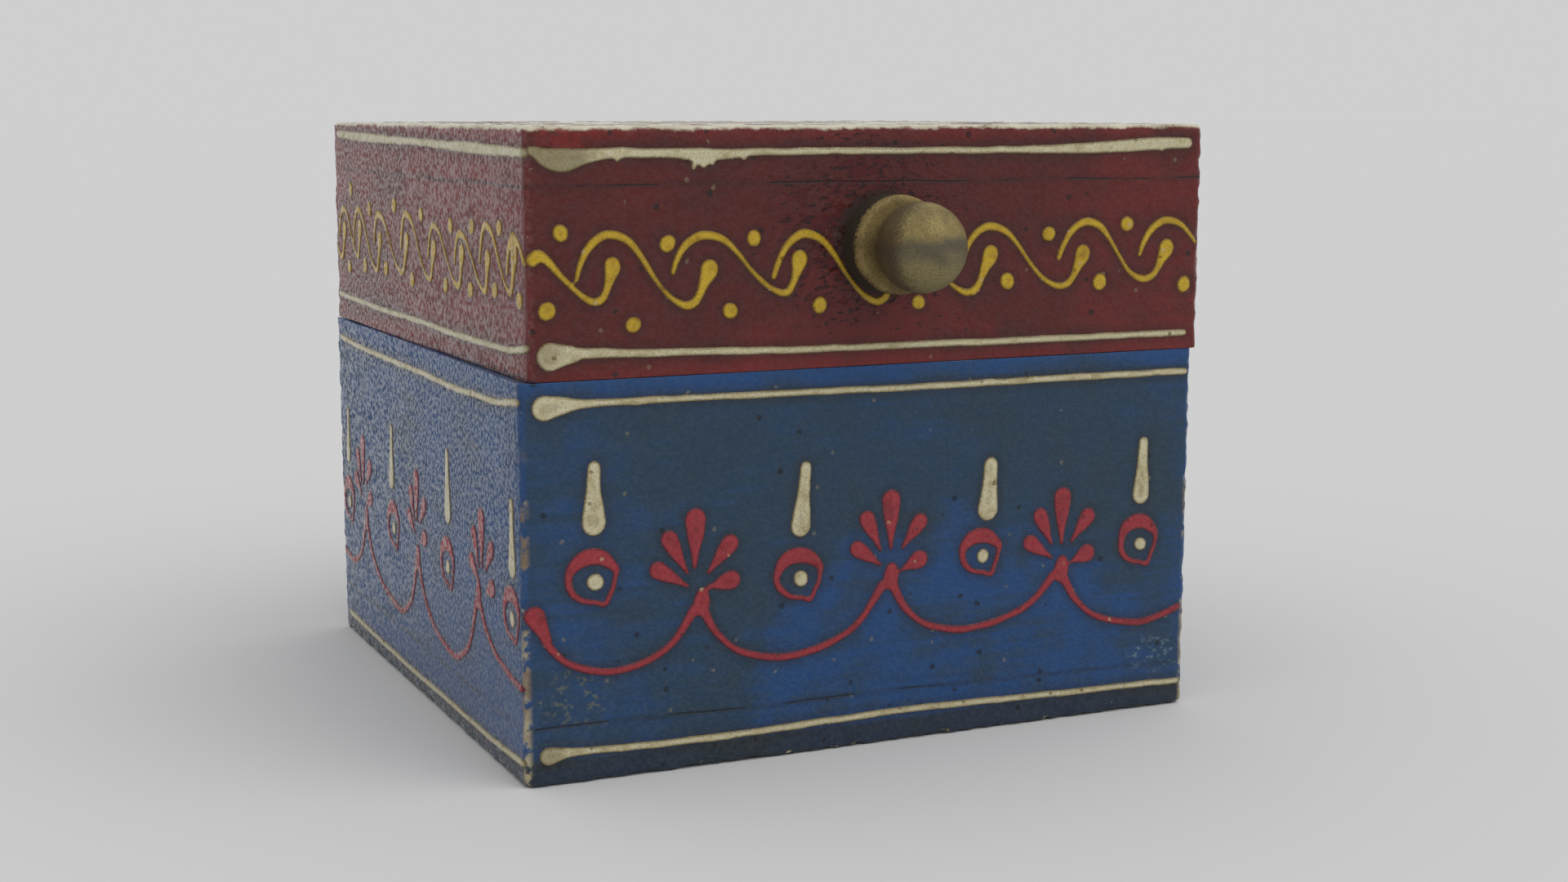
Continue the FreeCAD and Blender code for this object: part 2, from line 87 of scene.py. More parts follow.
# %% Camera
camera_place = Vector((-133.9, -312.0, 87.3)) * mm
turn, tilt = math.radians(24.61), math.radians(8.645)
sight = Vector((math.sin(turn) * math.cos(tilt), math.cos(turn) * math.cos(tilt), -math.sin(tilt)))
bpy.ops.object.camera_add(location=camera_place, rotation=sight.to_track_quat("-Z", "Y").to_euler())
camera = bpy.context.object
camera.data.lens = 50
camera.data.sensor_width = 36
camera.data.clip_start = 0.01
bpy.context.scene.camera = camera
bpy.context.scene.view_settings.view_transform = "Standard"
print("camera at", [round(c / mm) for c in camera_place])

# %% Sky and sun
sky_grey, ceiling_grey = 0.624, 1.0
ceiling_from, ceiling_to = 0.45, 0.98       # how steeply one looks up to see the ceiling light
sun_strength, sun_width = 0.7, math.radians(55)
sun_height, sun_side = math.radians(52), math.radians(30)
world = bpy.data.worlds.new("studio_sky")
world.use_nodes = True
sky = world.node_tree.nodes
upwards = sky.new("ShaderNodeSeparateXYZ")
ceiling = sky.new("ShaderNodeMapRange")
ceiling.interpolation_type = "SMOOTHSTEP"
for key, value in (("From Min", ceiling_from), ("From Max", ceiling_to),
                   ("To Min", sky_grey), ("To Max", ceiling_grey)):
    ceiling.inputs[key].default_value = value
for source, target in ((sky.new("ShaderNodeTexCoord").outputs["Generated"], upwards.inputs[0]),
                       (upwards.outputs["Z"], ceiling.inputs["Value"]),
                       (ceiling.outputs[0], sky["Background"].inputs["Color"])):
    world.node_tree.links.new(source, target)
bpy.context.scene.world = world
beam = Vector((-math.sin(sun_side) * math.cos(sun_height), math.cos(sun_side) * math.cos(sun_height),
               -math.sin(sun_height)))
bpy.ops.object.light_add(type="SUN", location=(0.3, -0.4, 0.6),
                         rotation=beam.to_track_quat("-Z", "Y").to_euler())
sun = bpy.context.object
sun.data.energy = sun_strength
sun.data.angle = sun_width
print("sun stands", round(math.degrees(sun_height)), "degrees high")

# %% Floor
bpy.ops.mesh.primitive_plane_add(size=40)
floor = bpy.context.object
floor.name = "floor"
levels = np.linspace(0, 1, 401)
share = np.clip((levels - ceiling_from) / (ceiling_to - ceiling_from), 0, 1)
sky_levels = sky_grey + (ceiling_grey - sky_grey) * share**2 * (3 - 2 * share)
sky_light = float(np.mean(2 * levels * sky_levels))
floor_grey = sky_grey / (sky_light + sun_strength * math.sin(sun_height) / math.pi)
floor_paint = bpy.data.materials.new("floor_grey")
floor_paint.use_nodes = True
floor_shader = floor_paint.node_tree.nodes["Principled BSDF"]
floor_shader.inputs["Base Color"].default_value = (floor_grey,) * 3 + (1,)
floor_shader.inputs["Roughness"].default_value = 1
floor_shader.inputs["Specular IOR Level"].default_value = 0
floor.data.materials.append(floor_paint)
print("floor grey", round(floor_grey, 3))

# %% [markdown]
# ## Writing finishes as sums
# Old paint is many thin layers: colour, brush marks, grime, chips. Wiring such layers by hand is slow to
# read, so a small class stands for a socket and turns `a + b` or `1 - a` into Math nodes. A second class
# holds one material and adds every other kind of node through a single method.

# %% Sockets that add up
class Value:
    def __init__(self, finish, socket):
        self.finish = finish
        self.socket = socket

    def math(self, operation, *terms):
        return self.finish.node("ShaderNodeMath", {"operation": operation}, dict(enumerate(terms)))

    def __add__(self, other):
        return self.math("ADD", self, other)

    def __radd__(self, other):
        return self.math("ADD", other, self)

    def __sub__(self, other):
        return self.math("SUBTRACT", self, other)

    def __rsub__(self, other):
        return self.math("SUBTRACT", other, self)

    def __mul__(self, other):
        return self.math("MULTIPLY", self, other)

    def __rmul__(self, other):
        return self.math("MULTIPLY", other, self)

    def __truediv__(self, other):
        return self.math("DIVIDE", self, other)

    def __pow__(self, other):
        return self.math("POWER", self, other)

    def __abs__(self):
        return self.math("ABSOLUTE", self)

    def least(self, other):
        return self.math("MINIMUM", self, other)

    def most(self, other):
        return self.math("MAXIMUM", self, other)


print("a", Value.__name__, "adds, subtracts, multiplies and divides sockets")

# %% One material and its nodes
def srgb(red, green, blue):
    """A colour as a picture shows it, 0 to 255, as the linear colour a shader wants."""
    shares = (c / 255 for c in (red, green, blue))
    return tuple(c / 12.92 if c <= 0.04045 else ((c + 0.055) / 1.055) ** 2.4 for c in shares) + (1,)


class Finish:
    def __init__(self, name):
        self.material = bpy.data.materials.new(name)
        self.material.use_nodes = True
        self.tree = self.material.node_tree
        self.shader = self.tree.nodes["Principled BSDF"]

    def feed(self, socket, value):
        if isinstance(value, Value):
            self.tree.links.new(value.socket, socket)
        else:
            socket.default_value = value

    def node(self, kind, settings=None, sockets=None, out=0):
        made = self.tree.nodes.new(kind)
        for key, value in (settings or {}).items():
            setattr(made, key, value)
        for key, value in (sockets or {}).items():
            self.feed(made.inputs[key], value)
        return Value(self, made.outputs[out])

    def set(self, **sockets):
        for key, value in sockets.items():
            self.feed(self.shader.inputs[key.replace("_", " ").title().replace("Ior", "IOR")], value)

    def place(self):
        """Where a point is on the object, in millimetres."""
        at = self.node("ShaderNodeTexCoord", out="Object")
        return self.node("ShaderNodeVectorMath", {"operation": "SCALE"}, {0: at, "Scale": 1 / mm})

    def axes(self, at):
        split = self.node("ShaderNodeSeparateXYZ", sockets={0: at}).socket.node
        return [Value(self, socket) for socket in split.outputs]

    def noise(self, at, size, detail=2.0, roughness=0.5, out="Fac"):
        """Clouds about that many millimetres long; size may differ along x, y and z."""
        sizes = size if isinstance(size, tuple) else (size,) * 3
        scaled = self.node("ShaderNodeVectorMath", {"operation": "MULTIPLY"},
                           {0: at, 1: tuple(1 / s for s in sizes)})
        return self.node("ShaderNodeTexNoise", None,
                         {"Vector": scaled, "Scale": 1.0, "Detail": detail, "Roughness": roughness}, out)

    def specks(self, at, size, share, reach):
        """Small spots of about that reach: one in a share of the cells of that size, in millimetres."""
        away = self.node("ShaderNodeTexVoronoi", None, {"Vector": at, "Scale": 1 / size}, "Distance")
        chosen = Value(self, away.socket.node.outputs["Color"])
        rough = (self.noise(at, reach * 1.5, 2) - 0.5) * reach * 1.6
        spots = 1 - self.step(away * size + rough, reach * 0.7, reach)
        return spots * self.step(self.axes(chosen)[0], 1 - share, 1.02 - share)

    def away(self, aside, above, squeeze=1.0):
        """How far a point is from a place, by its two offsets; a squeeze under 1 draws it out sideways."""
        return (aside * aside * squeeze + above * above) ** 0.5

    def step(self, value, low, high):
        """0 below low, 1 above high, smooth between."""
        return self.node("ShaderNodeMapRange", {"interpolation_type": "SMOOTHSTEP"},
                         {"Value": value, "From Min": low, "From Max": high})

    def mix(self, share, first, second):
        return self.node("ShaderNodeMix", {"data_type": "RGBA"}, {0: share, 6: first, 7: second}, 2)

    def shaded(self, colour, share):
        """A colour multiplied by a number."""
        return self.node("ShaderNodeVectorMath", {"operation": "SCALE"}, {0: colour, "Scale": share})

    def attribute(self, name):
        return self.node("ShaderNodeAttribute", {"attribute_name": name}, out="Fac")

    def bump(self, height, depth):
        """Height 1 stands that many millimetres proud."""
        self.set(normal=self.node("ShaderNodeBump", None,
                                  {"Height": height, "Distance": depth * mm, "Strength": 1.0}))


print("finishes are built from", [c.__name__ for c in (Value, Finish)])

# %% [markdown]
# ## Hands for modelling
# Operators act on what is selected, so each helper first lets go of everything and then picks one thing.
# `select_edges` chooses edges by where they lie, as one would with a box selection.

# %% Selecting and applying
def pick(piece):
    if bpy.context.object and bpy.context.object.mode != "OBJECT":
        bpy.ops.object.mode_set(mode="OBJECT")
    bpy.ops.object.select_all(action="DESELECT")
    piece.hide_set(False)
    piece.select_set(True)
    bpy.context.view_layer.objects.active = piece


def apply_place(piece):
    pick(piece)
    bpy.ops.object.transform_apply(location=True, rotation=True, scale=True)


def add_modifier(piece, kind, **settings):
    pick(piece)
    modifier = piece.modifiers.new(kind.lower(), kind)
    for key, value in settings.items():
        setattr(modifier, key, value)
    bpy.ops.object.modifier_apply(modifier=modifier.name)


def select_edges(piece, test):
    """Leaves edit mode open with the edges picked whose two ends pass the test."""
    pick(piece)
    bpy.ops.object.mode_set(mode="EDIT")
    bpy.ops.mesh.select_mode(type="EDGE")
    bpy.ops.mesh.select_all(action="DESELECT")
    bpy.ops.object.mode_set(mode="OBJECT")
    points = [v.co for v in piece.data.vertices]
    for edge in piece.data.edges:
        edge.select = bool(test(*(points[i] for i in edge.vertices)))
    bpy.ops.object.mode_set(mode="EDIT")


def smooth(piece, degrees=38):
    pick(piece)
    bpy.ops.object.shade_smooth_by_angle(angle=math.radians(degrees))


def block(name, low, high):
    """A box from corner to corner, in metres, with its place in its mesh."""
    low, high = Vector(low), Vector(high)
    bpy.ops.mesh.primitive_cube_add(size=1, location=(low + high) / 2)
    piece = bpy.context.object
    piece.name = name
    piece.scale = high - low
    apply_place(piece)
    return piece


def rod(name, radius, start, end, sides=32):
    """A round bar between two points, in metres."""
    start, end = Vector(start), Vector(end)
    bpy.ops.mesh.primitive_cylinder_add(vertices=sides, radius=radius, depth=(end - start).length,
                                        location=(start + end) / 2)
    piece = bpy.context.object
    piece.name = name
    piece.rotation_mode = "QUATERNION"
    piece.rotation_quaternion = (end - start).to_track_quat("Z", "Y")
    apply_place(piece)
    return piece


def cut(piece, tools):
    for tool in tools:
        add_modifier(piece, "BOOLEAN", operation="DIFFERENCE", solver="EXACT", object=tool)
        bpy.data.objects.remove(tool)


def dress(piece, finish, body, slot, *stands_for):
    """Gives a finished piece its material, its body and the nodes that it stands for; the slot is not used.
    """
    piece.data.materials.clear()
    piece.data.materials.append(finish.material)
    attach(piece, body)
    if stands_for:
        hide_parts(*stands_for)


print("helpers ready")

# %% [markdown]
# ## Old oil paint on wood
# The lid is maroon, the base a dark blue. Close to, neither is one colour: the brush left long streaks,
# handling left grey grime, the arrises are rubbed to a brighter coat, chips show a cream primer, and a
# pebbled varnish turns pale where one looks along it. Where the varnish film is missing, a pale grey is
# painted into the colour as a painted sheen, more on the side faces. Inside, and on the rims, the softwood
# is bare. How far a point lies under the box's outer skin tells paint from bare wood, and the middle one of
# its three distances to the faces is its distance to the nearest arris, where the wear goes.

# %% The painted skin of base and lid
half_wide, half_deep, tall = 51, 50.5, 85.5
skin = 0.16             # how far the boards lie inside the CAD faces, to leave room for piped paint
lid_shift = 1.3
parting = 53.1          # the height where lid and base meet
rim_gap = 0.1           # each rim stays this far from it at the hinges
carcass = {"base": (np.array((-half_wide + skin, -half_deep + skin, 0.1)),
                    np.array((half_wide - skin, half_deep - skin, parting - rim_gap))),
           "lid": (np.array((lid_shift - half_wide + skin, -half_deep + skin, parting + rim_gap)),
                   np.array((lid_shift + half_wide - skin, half_deep - skin, tall - skin)))}
lean_reach = 10
leans = {"base": (0.45, 0.4), "lid": (-0.6, 0.0)}   # along x: the rear left corner, and the right side
knob_x, knob_z = lid_shift, 69.5
top_joint, floor_joint = 77.8, 7.3      # where the lid's top and the base's floor meet the walls


class Skin(Finish):
    """A finish of the base or the lid that knows how far a point lies from its faces and arrises."""

    def __init__(self, name, body):
        super().__init__(name)
        low, high = ([float(c) for c in corner] for corner in carcass[body])
        self.lid, self.low, self.high = body == "lid", low, high
        self.at = self.place()
        self.x, self.y, self.z = x, y, z = self.axes(self.at)
        rear_left, right_side = leans[body]
        backwards = (y - low[1]) / (high[1] - low[1])
        square = (x - rear_left * backwards * (1 - self.step(x, low[0], low[0] + lean_reach))
                  - right_side * self.step(x, high[0] - lean_reach, high[0]))
        dx, dy, dz = ((h - l) / 2 - abs(a - (h + l) / 2) for a, l, h in zip((square, y, z), low, high))
        self.dx, self.dy, self.dz = dx, dy, dz
        self.depth = dx.least(dy).least(dz)
        self.arris = dx.least(dy).most(dx.most(dy).least(dz))
        self.front = 1 - self.step(y, -49.4, -48.6)
        self.streak = self.noise(self.at, (26, 26, 1.3), 4, 0.6)
        self.cloud = self.noise(self.at, 7, 4, 0.6)
        self.chip = self.noise(self.at, 2.4, 4, 0.65)

    def near(self, across, up, reach, squeeze=1.0):
        """1 at a place on the front, falling to 0 at that reach."""
        away = self.away(self.x - across, self.z - up, squeeze) + (self.cloud - 0.5) * reach * 0.5
        return (1 - self.step(away, reach * 0.35, reach)) * self.front


print("carcasses:", {body: np.round(high - low, 2).tolist() for body, (low, high) in carcass.items()})

# %% Coats, grime and specks
def coats(p, coat, bright, grime):
    """The coat, a brighter one where brush and wear thinned it, and the grime of hands."""
    inwards = p.step(p.dx, 0.3, 1.2)
    second = p.noise(p.at, 30, 3) * 0.3 + p.streak * 0.4 + p.noise(p.at, (17, 17, 6), 4, 0.6) * 0.3
    second = second + 0.13 * (1 - inwards)
    if p.lid:
        second = second + 0.12 * p.near(44, 66, 26) + 0.12 * p.near(-2, 58, 16, 0.3)
    else:
        second = (second + 0.22 * p.near(10, 13, 24, 0.4) + 0.05 * p.near(49, 20, 12, 2.0)
                  + 0.13 * p.step(p.z, 50.4, 51.2) + 0.08 * (1 - p.step(p.z, 8, 30)))
    thinned = p.step(second, 0.50, 0.68) * (0.9 - (0.45 if p.lid else 0.1) * p.front)
    dirty = p.step(p.cloud * 0.6 + p.streak * 0.4, 0.42, 0.66) * (0.4 + 0.35 * inwards)
    rubbed = (1 - p.step(p.arris + p.cloud * 5, 2.5, 5.5)) * (0.1 + 0.35 * p.step(p.dx.most(p.dy), 1.0, 5.0))
    tone = p.mix(dirty, p.mix(thinned, coat, bright), grime)
    return p.mix(rubbed, tone, bright)


def specked(p, tone):
    """A fine mottle, the dark halo along the piping, and dark and pale specks."""
    tone = p.shaded(tone, 0.8 + 0.4 * p.noise(p.at, 0.4, 2))
    tone = p.mix(p.attribute("halo") * 0.45, tone, srgb(34, 28, 24))
    tone = p.mix(p.specks(p.at, 3.4, 0.5, 0.5) * 0.7, tone, srgb(20, 20, 24))
    return p.mix(p.specks(p.at, 3.0, 0.3, 0.34) * 0.4, tone, srgb(134, 126, 100))


def cracked(p, tone):
    """The joint of the top or floor board: a smudge, and in it a thin broken line."""
    joint = (top_joint if p.lid else floor_joint - p.x * 0.012) + (p.noise(p.at, 14, 3) - 0.5) * 1.2
    off = abs(p.z - joint)
    seam = (1 - p.step(off, 0.05, 0.2)) * p.step(p.noise(p.at, 12, 2), 0.46, 0.54)
    tone = p.mix((1 - p.step(off, 0.1, 0.7)) * 0.25, tone, srgb(30, 26, 28))
    return p.mix(seam * 0.75, tone, srgb(20, 18, 20)), seam


print("layers:", [layer.__name__ for layer in (coats, specked, cracked)])

# %% Marks of use on base and lid
def base_marks(p, tone):
    """Darker along the bottom few millimetres, and two pale scuffs low on the front."""
    tone = p.mix((1 - p.step(p.z + (p.cloud - 0.5) * 1.6, 2.9, 3.7)) * 0.8, tone, srgb(38, 43, 45))
    for across, up, reach, squeeze, pale in ((-44, 11.5, 6.5, 1.0, srgb(112, 112, 84)),
                                             (46, 8.2, 3.6, 0.25, srgb(120, 142, 152))):
        scratches = p.step(p.noise(p.at, (1.0, 1.0, 0.7), 3, 0.6), 0.54, 0.66)
        tone = p.mix(p.near(across, up, reach, squeeze) * scratches * 0.55, tone, pale)
    return tone


cream_ground = srgb(204, 198, 174)


def lid_marks(p, tone):
    """Dark red patches and flecks, a painted shadow round the foot of the knob's rose, a bright corner, nicks
    along the left rim, and the top's cream that was drawn over the upper arris."""
    aside, above = p.x - knob_x, p.z - knob_z
    around = p.away(aside, above)
    beside = (1 - p.step(around + aside * 0.35 - above * 0.2, 7.5, 16.5)) * p.front
    slanted = p.node("ShaderNodeCombineXYZ", None,
                     {0: p.x * 0.7 + p.z * 0.25, 1: p.y, 2: p.z * 1.5 - p.x * 0.3})
    wet = p.step(beside * 0.4 + p.noise(slanted, 1.7, 4, 0.65), 0.88, 0.93) * p.front
    strewn = beside * 0.1 + (1 - p.step(around, 8, 30)) * 0.1
    flecks = p.step(strewn + p.noise(slanted, 0.85, 2, 0.6), 0.755, 0.795) * p.front
    # painted shadow: a dark brown ring on the board round the foot of the knob's rose
    rose_foot_shadow = (1 - p.step(around + aside * 0.1 + (p.cloud - 0.5) * 2.4, 6.8, 7.6)) * p.front
    corner = p.near(-44.5, 84.2, 3.4, 0.3) * p.step(p.chip, 0.40, 0.56)
    ragged = p.z - p.low[2] + (p.noise(p.at, (1.6, 1.6, 0.5), 3) - 0.5) * 4
    nicks = (1 - p.step(ragged, 0.2, 0.8)) * (1 - p.step(p.y, -30, 12)) * (1 - p.front)
    over = 1 - p.step(p.high[2] - p.z + (p.chip - 0.5) * 1.6, 0.2, 0.7)
    top_cream = p.mix(p.step(p.cloud, 0.45, 0.7) * 0.5, cream_ground, srgb(160, 148, 120))
    for share, colour in ((wet * 0.9, srgb(76, 4, 10)), (flecks * 0.9, srgb(38, 5, 8)),
                          (rose_foot_shadow * 0.75, srgb(44, 30, 24)), (corner * 0.65, srgb(128, 34, 31)),
                          (nicks * 0.8, srgb(34, 15, 15)), (over, top_cream)):
        tone = p.mix(share, tone, colour)
    return tone, wet


print("marks:", [marks.__name__ for marks in (base_marks, lid_marks)])

# %% Chips, bare wood and varnish
def chipped(p, tone):
    """Chips along the arrises, and the rubbed uprights, show the primer."""
    primer = p.mix(p.step(p.cloud, 0.4, 0.6), srgb(190, 178, 138), srgb(138, 114, 78))
    off_rim = p.step(abs(p.z - parting), 0.8, 2.2)
    chips = p.step(p.chip - p.arris * 0.16 + (p.cloud - 0.5) * 0.3, 0.55, 0.60) * off_rim
    handling_and_reflection = p.step(p.chip + (p.cloud - 0.5) * 1.2 + 0.14 * (1 - p.step(p.z, 6, 24)), 0.50, 0.62)
    rubbed = (1 - p.step(p.dx.most(p.dy), 0.4, 1.3)) * (1 - p.step(p.z, 30, 48)) * handling_and_reflection
    worn = chips.most(rubbed)
    return p.mix(worn * 0.85, tone, primer), worn


def softwood(p, grain):
    """The bare wood, its grain lines, and where it shows: inside and on the rims."""
    lines = p.noise(p.at, tuple(1.1 if across else 34.0 for across in grain), 5, 0.6)
    wood = p.mix(p.step(lines, 0.35, 0.7), srgb(186, 146, 98), srgb(128, 88, 52))
    wood = p.mix(p.step(p.cloud, 0.5, 0.75) * 0.4, wood, srgb(84, 60, 40))
    rim = (1 - p.step(p.dz, 0.35, 0.6)) * p.step(p.arris + p.cloud * 2, 2.0, 3.0)
    if p.lid:
        rim = rim * (1 - p.step(p.z, 60, 61))
    return wood, lines, p.step(p.depth, 0.55, 0.95).most(rim)


def old_paint(name, body, grain, coat, bright, grime):
    p = Skin(name, body)
    wood, lines, bare = softwood(p, grain)
    film = p.step(p.noise(p.at, 0.65, 3, 0.6), 0.37, 0.60) * (1 - bare)
    tone = coats(p, coat, bright, grime)
    if not p.lid:
        tone = base_marks(p, tone)
    tone, seam = cracked(p, specked(p, tone))
    if p.lid:
        tone, wet = lid_marks(p, tone)
        film = film * (1 - wet * 0.8)
    tone, worn = chipped(p, tone)
    # painted sheen: where the varnish film is missing, a pale grey is painted into the colour in place of its
    # shine, a little everywhere, more on the side faces and most low on the base's sides
    side_sheen = (1 - p.step(p.dx, 0.3, 1.2)) * (1.2 if p.lid else 2 - 2 * p.step(p.z, 10, 34))
    tone = p.mix((1 - film) * (0.026 + 0.03 * side_sheen), tone, srgb(228, 228, 228))
    p.set(base_color=p.mix(bare, tone, wood), roughness=0.75 - 0.6 * film, ior=1.25,
          coat_weight=film, coat_roughness=0.12, coat_ior=1.25)
    p.bump(film * 0.45 + p.streak * 0.4 + p.cloud * 0.4 + lines * bare * 0.9 - worn * 0.4 - seam * 0.6, 0.12)
    return p


red = dict(coat=srgb(86, 30, 27), bright=srgb(121, 36, 35), grime=srgb(72, 34, 31))
blue = dict(coat=srgb(37, 62, 84), bright=srgb(28, 72, 126), grime=srgb(42, 60, 72))
along_x, along_y = (0, 1, 1), (1, 0, 1)
paints = {(body, along): old_paint(name, body, along, **tones)
          for name, body, tones in (("maroon_paint", "lid", red), ("blue_paint", "base", blue))
          for along in (along_x, along_y)}
print("paints:", [p.material.name for p in paints.values()])

# %% [markdown]
# ## Boards with worn arrises
# Each board starts as a box of its own size. The arrises that lie outside on the finished carcass are
# rounded with a bevel, holes and hinge seats are cut, and a grid of cuts gives the surface points to
# move. Two cloud textures then shift them: a wide one for planing marks, a fine one that bites chips out
# of the arrises only.

# %% Grid, chips and waves
grid_step = 1.7


def gridded(piece, low, high):
    pick(piece)
    bpy.ops.object.mode_set(mode="EDIT")
    for axis in range(3):
        normal = [0, 0, 0]
        normal[axis] = 1
        count = max(2, round((high[axis] - low[axis]) / (grid_step * mm)))
        for i in range(1, count):
            place = [0, 0, 0]
            place[axis] = low[axis] + (high[axis] - low[axis]) * i / count
            bpy.ops.mesh.select_all(action="SELECT")
            bpy.ops.mesh.bisect(plane_co=place, plane_no=normal, threshold=1e-6)
    bpy.ops.mesh.select_all(action="SELECT")
    bpy.ops.mesh.fill_holes(sides=0)
    bpy.ops.object.mode_set(mode="OBJECT")
    add_modifier(piece, "SUBSURF", subdivision_type="SIMPLE", levels=1, render_levels=1)


def clouds(name, size, contrast=1.0):
    texture = bpy.data.textures.new(name, "CLOUDS")
    texture.noise_scale = size * mm
    texture.noise_depth = 2
    texture.contrast = contrast
    return texture


def rippled(piece, texture, strength, middle=0.5, **settings):
    """Moves points along their normals by clouds, up to about that many millimetres."""
    add_modifier(piece, "DISPLACE", texture=texture, texture_coords="LOCAL", strength=strength * mm,
                 mid_level=middle, **settings)


plane_marks = clouds("plane_marks", 16)
edge_bites = clouds("edge_bites", 1.3, 1.8)


def leaning(points, body, low, high):
    """An old box is no longer square: near its sides the points move along x, as the paint knows too."""
    def soft(share):
        share = np.clip(share, 0, 1)
        return share * share * (3 - 2 * share)

    rear_left, right_side = leans[body]
    backwards = (points[:, 1] - low[1]) / (high[1] - low[1])
    points[:, 0] += (rear_left * backwards * (1 - soft((points[:, 0] - low[0]) / lean_reach))
                     + right_side * soft((points[:, 0] - high[0] + lean_reach) / lean_reach))
    return points


def weathered(piece, body, low, high, joints):
    """Moves the grid's points. Low and high are the carcass's outer corners, in millimetres, and joints are
    the places along each axis where the board butts against another and has to stay flat."""
    start = np.array([v.co for v in piece.data.vertices]) / mm
    near = np.sort(np.minimum(start - low, high - start), axis=1)
    weight = np.clip(1 - near[:, 1] / 2.0, 0, 1) * (near[:, 0] < 1.6) * (abs(start[:, 2] - parting) > 1.2)
    group = piece.vertex_groups.new(name="arris")
    for i in np.nonzero(weight > 0.01)[0]:
        group.add([int(i)], float(weight[i]), "REPLACE")
    rippled(piece, plane_marks, 0.2)
    rippled(piece, edge_bites, -0.5, 0.3, vertex_group="arris")
    points = np.array([v.co for v in piece.data.vertices]) / mm
    for axis, places in enumerate(joints):
        for place in places:
            held = abs(start[:, axis] - place) < 0.01
            points[held, axis] = start[held, axis]
    points = np.clip(points, low, high)
    rim = low[2] if body == "lid" else high[2]
    sunk = np.clip((36 - points[:, 1]) / 10, 0, 1) * np.clip(1 - abs(points[:, 2] - rim) / 2, 0, 1)
    points[:, 2] += (parting - rim) * 0.75 * sunk       # away from the hinges the two rims all but touch
    points = leaning(points, body, low, high)
    piece.data.vertices.foreach_set("co", (points * mm).astype(np.float32).ravel())
    piece.vertex_groups.clear()
    smooth(piece)


print("clouds:", plane_marks.name, edge_bites.name)

# %% Cutting and rounding one board
hinge_y, hinge_z = 49.7, parting
barrel_room, barrel_play = 2.0, 0.2
seat_depth, seat_room = 1.25, 0.05
cad_rims = {"base": 52.9, "lid": 53.3}
upright_round, level_round, rim_round = 1.1, 0.7, 0.14


def rear_bevel(piece, rim, sign):
    """Takes the wedge off a rear edge that lets the lid lean back."""
    lean = math.radians(55)
    pick(piece)
    bpy.ops.object.mode_set(mode="EDIT")
    bpy.ops.mesh.select_all(action="SELECT")
    bpy.ops.mesh.bisect(plane_co=(0, hinge_y * mm, rim * mm), use_fill=True, clear_outer=True, threshold=1e-6,
                        plane_no=(0, math.sin(lean), -sign * math.cos(lean)))
    bpy.ops.object.mode_set(mode="OBJECT")


def rounded(piece, radius, steps, test):
    select_edges(piece, test)
    bpy.ops.mesh.bevel(offset=radius * mm, offset_type="OFFSET", segments=steps, affect="EDGES")
    bpy.ops.object.mode_set(mode="OBJECT")


def hinge_seats(body):
    """Cutters for the seats of both leaves and for their barrels."""
    tools = []
    room, depth, play = seat_room * mm, seat_depth * mm, barrel_play * mm
    axis_y, axis_z = hinge_y * mm, hinge_z * mm
    for side in ("left", "right"):
        low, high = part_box(f"hinge_{body}_leaf_{side}")
        under, over = (low.z - room, axis_z) if body == "base" else (axis_z, high.z + room)
        seat = block("seat", (low.x - room, low.y - room, under), (high.x + room, axis_y, over))
        for v in seat.data.vertices:
            if body == "base" and v.co.z < axis_z - depth:
                v.co.z = cad_rims[body] * mm - depth
            if body == "lid" and v.co.z > axis_z + depth:
                v.co.z = cad_rims[body] * mm + depth
        tools.append(seat)
        tools.append(rod("notch", barrel_room * mm, (low.x - play, axis_y, axis_z),
                         (high.x + play, axis_y, axis_z)))
    return tools


def outer_edge(p, q, low, high):
    """The edge lies on the carcass's outline, and not on the board's inner faces or joints."""
    middle = (p + q) / 2 / mm
    reach = upright_round + 0.05
    return min(middle.x - low[0], high[0] - middle.x, middle.y - low[1], high[1] - middle.y) < reach * 0.35


print("rounding:", upright_round, level_round, rim_round, "mm")

# %% One painted board
def painted_board(node, body, tools=(), bevel=0):
    """A node's board, rounded where it lies outside, cut by the tools, worn and painted. Bevel asks for the
    wedge at the rear: 1 on a board above the parting, -1 on one below it."""
    low, high = carcass[body]
    corner = [np.array(c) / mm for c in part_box(node)]
    for c in corner:
        c[2] += 0.1 * (abs(c[2] - cad_rims["base"]) < 0.3) - 0.1 * (abs(c[2] - cad_rims["lid"]) < 0.3)
    corner = [np.clip(c, low, high) for c in corner]
    piece = block(f"{node}_painted", corner[0] * mm, corner[1] * mm)
    outside = {(axis, end): abs(corner[end][axis] - carcass[body][end][axis]) < 0.01
               for axis in range(3) for end in (0, 1)}
    rim_end = 1 if body == "base" else 0

    def both_on(p, q, axis, end):
        return outside[axis, end] and all(abs(v[axis] / mm - corner[end][axis]) < 0.01 for v in (p, q))

    def upright(p, q):
        return any(both_on(p, q, 0, i) and both_on(p, q, 1, j) for i in (0, 1) for j in (0, 1))

    if bevel:
        rear_bevel(piece, carcass[body][rim_end][2], bevel)
    rounded(piece, upright_round, 4, upright)
    for end in (0, 1):
        rounded(piece, rim_round if end == rim_end else level_round, 3,
                lambda p, q: both_on(p, q, 2, end) and outer_edge(p, q, low, high))
    cut(piece, tools)
    gridded(piece, corner[0] * mm, corner[1] * mm)
    joints = [[corner[end][axis] for end in (0, 1)
               if not outside[axis, end] or axis == 2 and abs(corner[end][2] - parting) < 0.5]
              for axis in range(3)]
    weathered(piece, body, low, high, joints)
    along = along_y if node.endswith(("left_board", "right_board")) else along_x
    dress(piece, paints[body, along], body, "blue_paint" if body == "base" else "red_paint", node)
    return piece


print("boards are rounded where they lie outside")

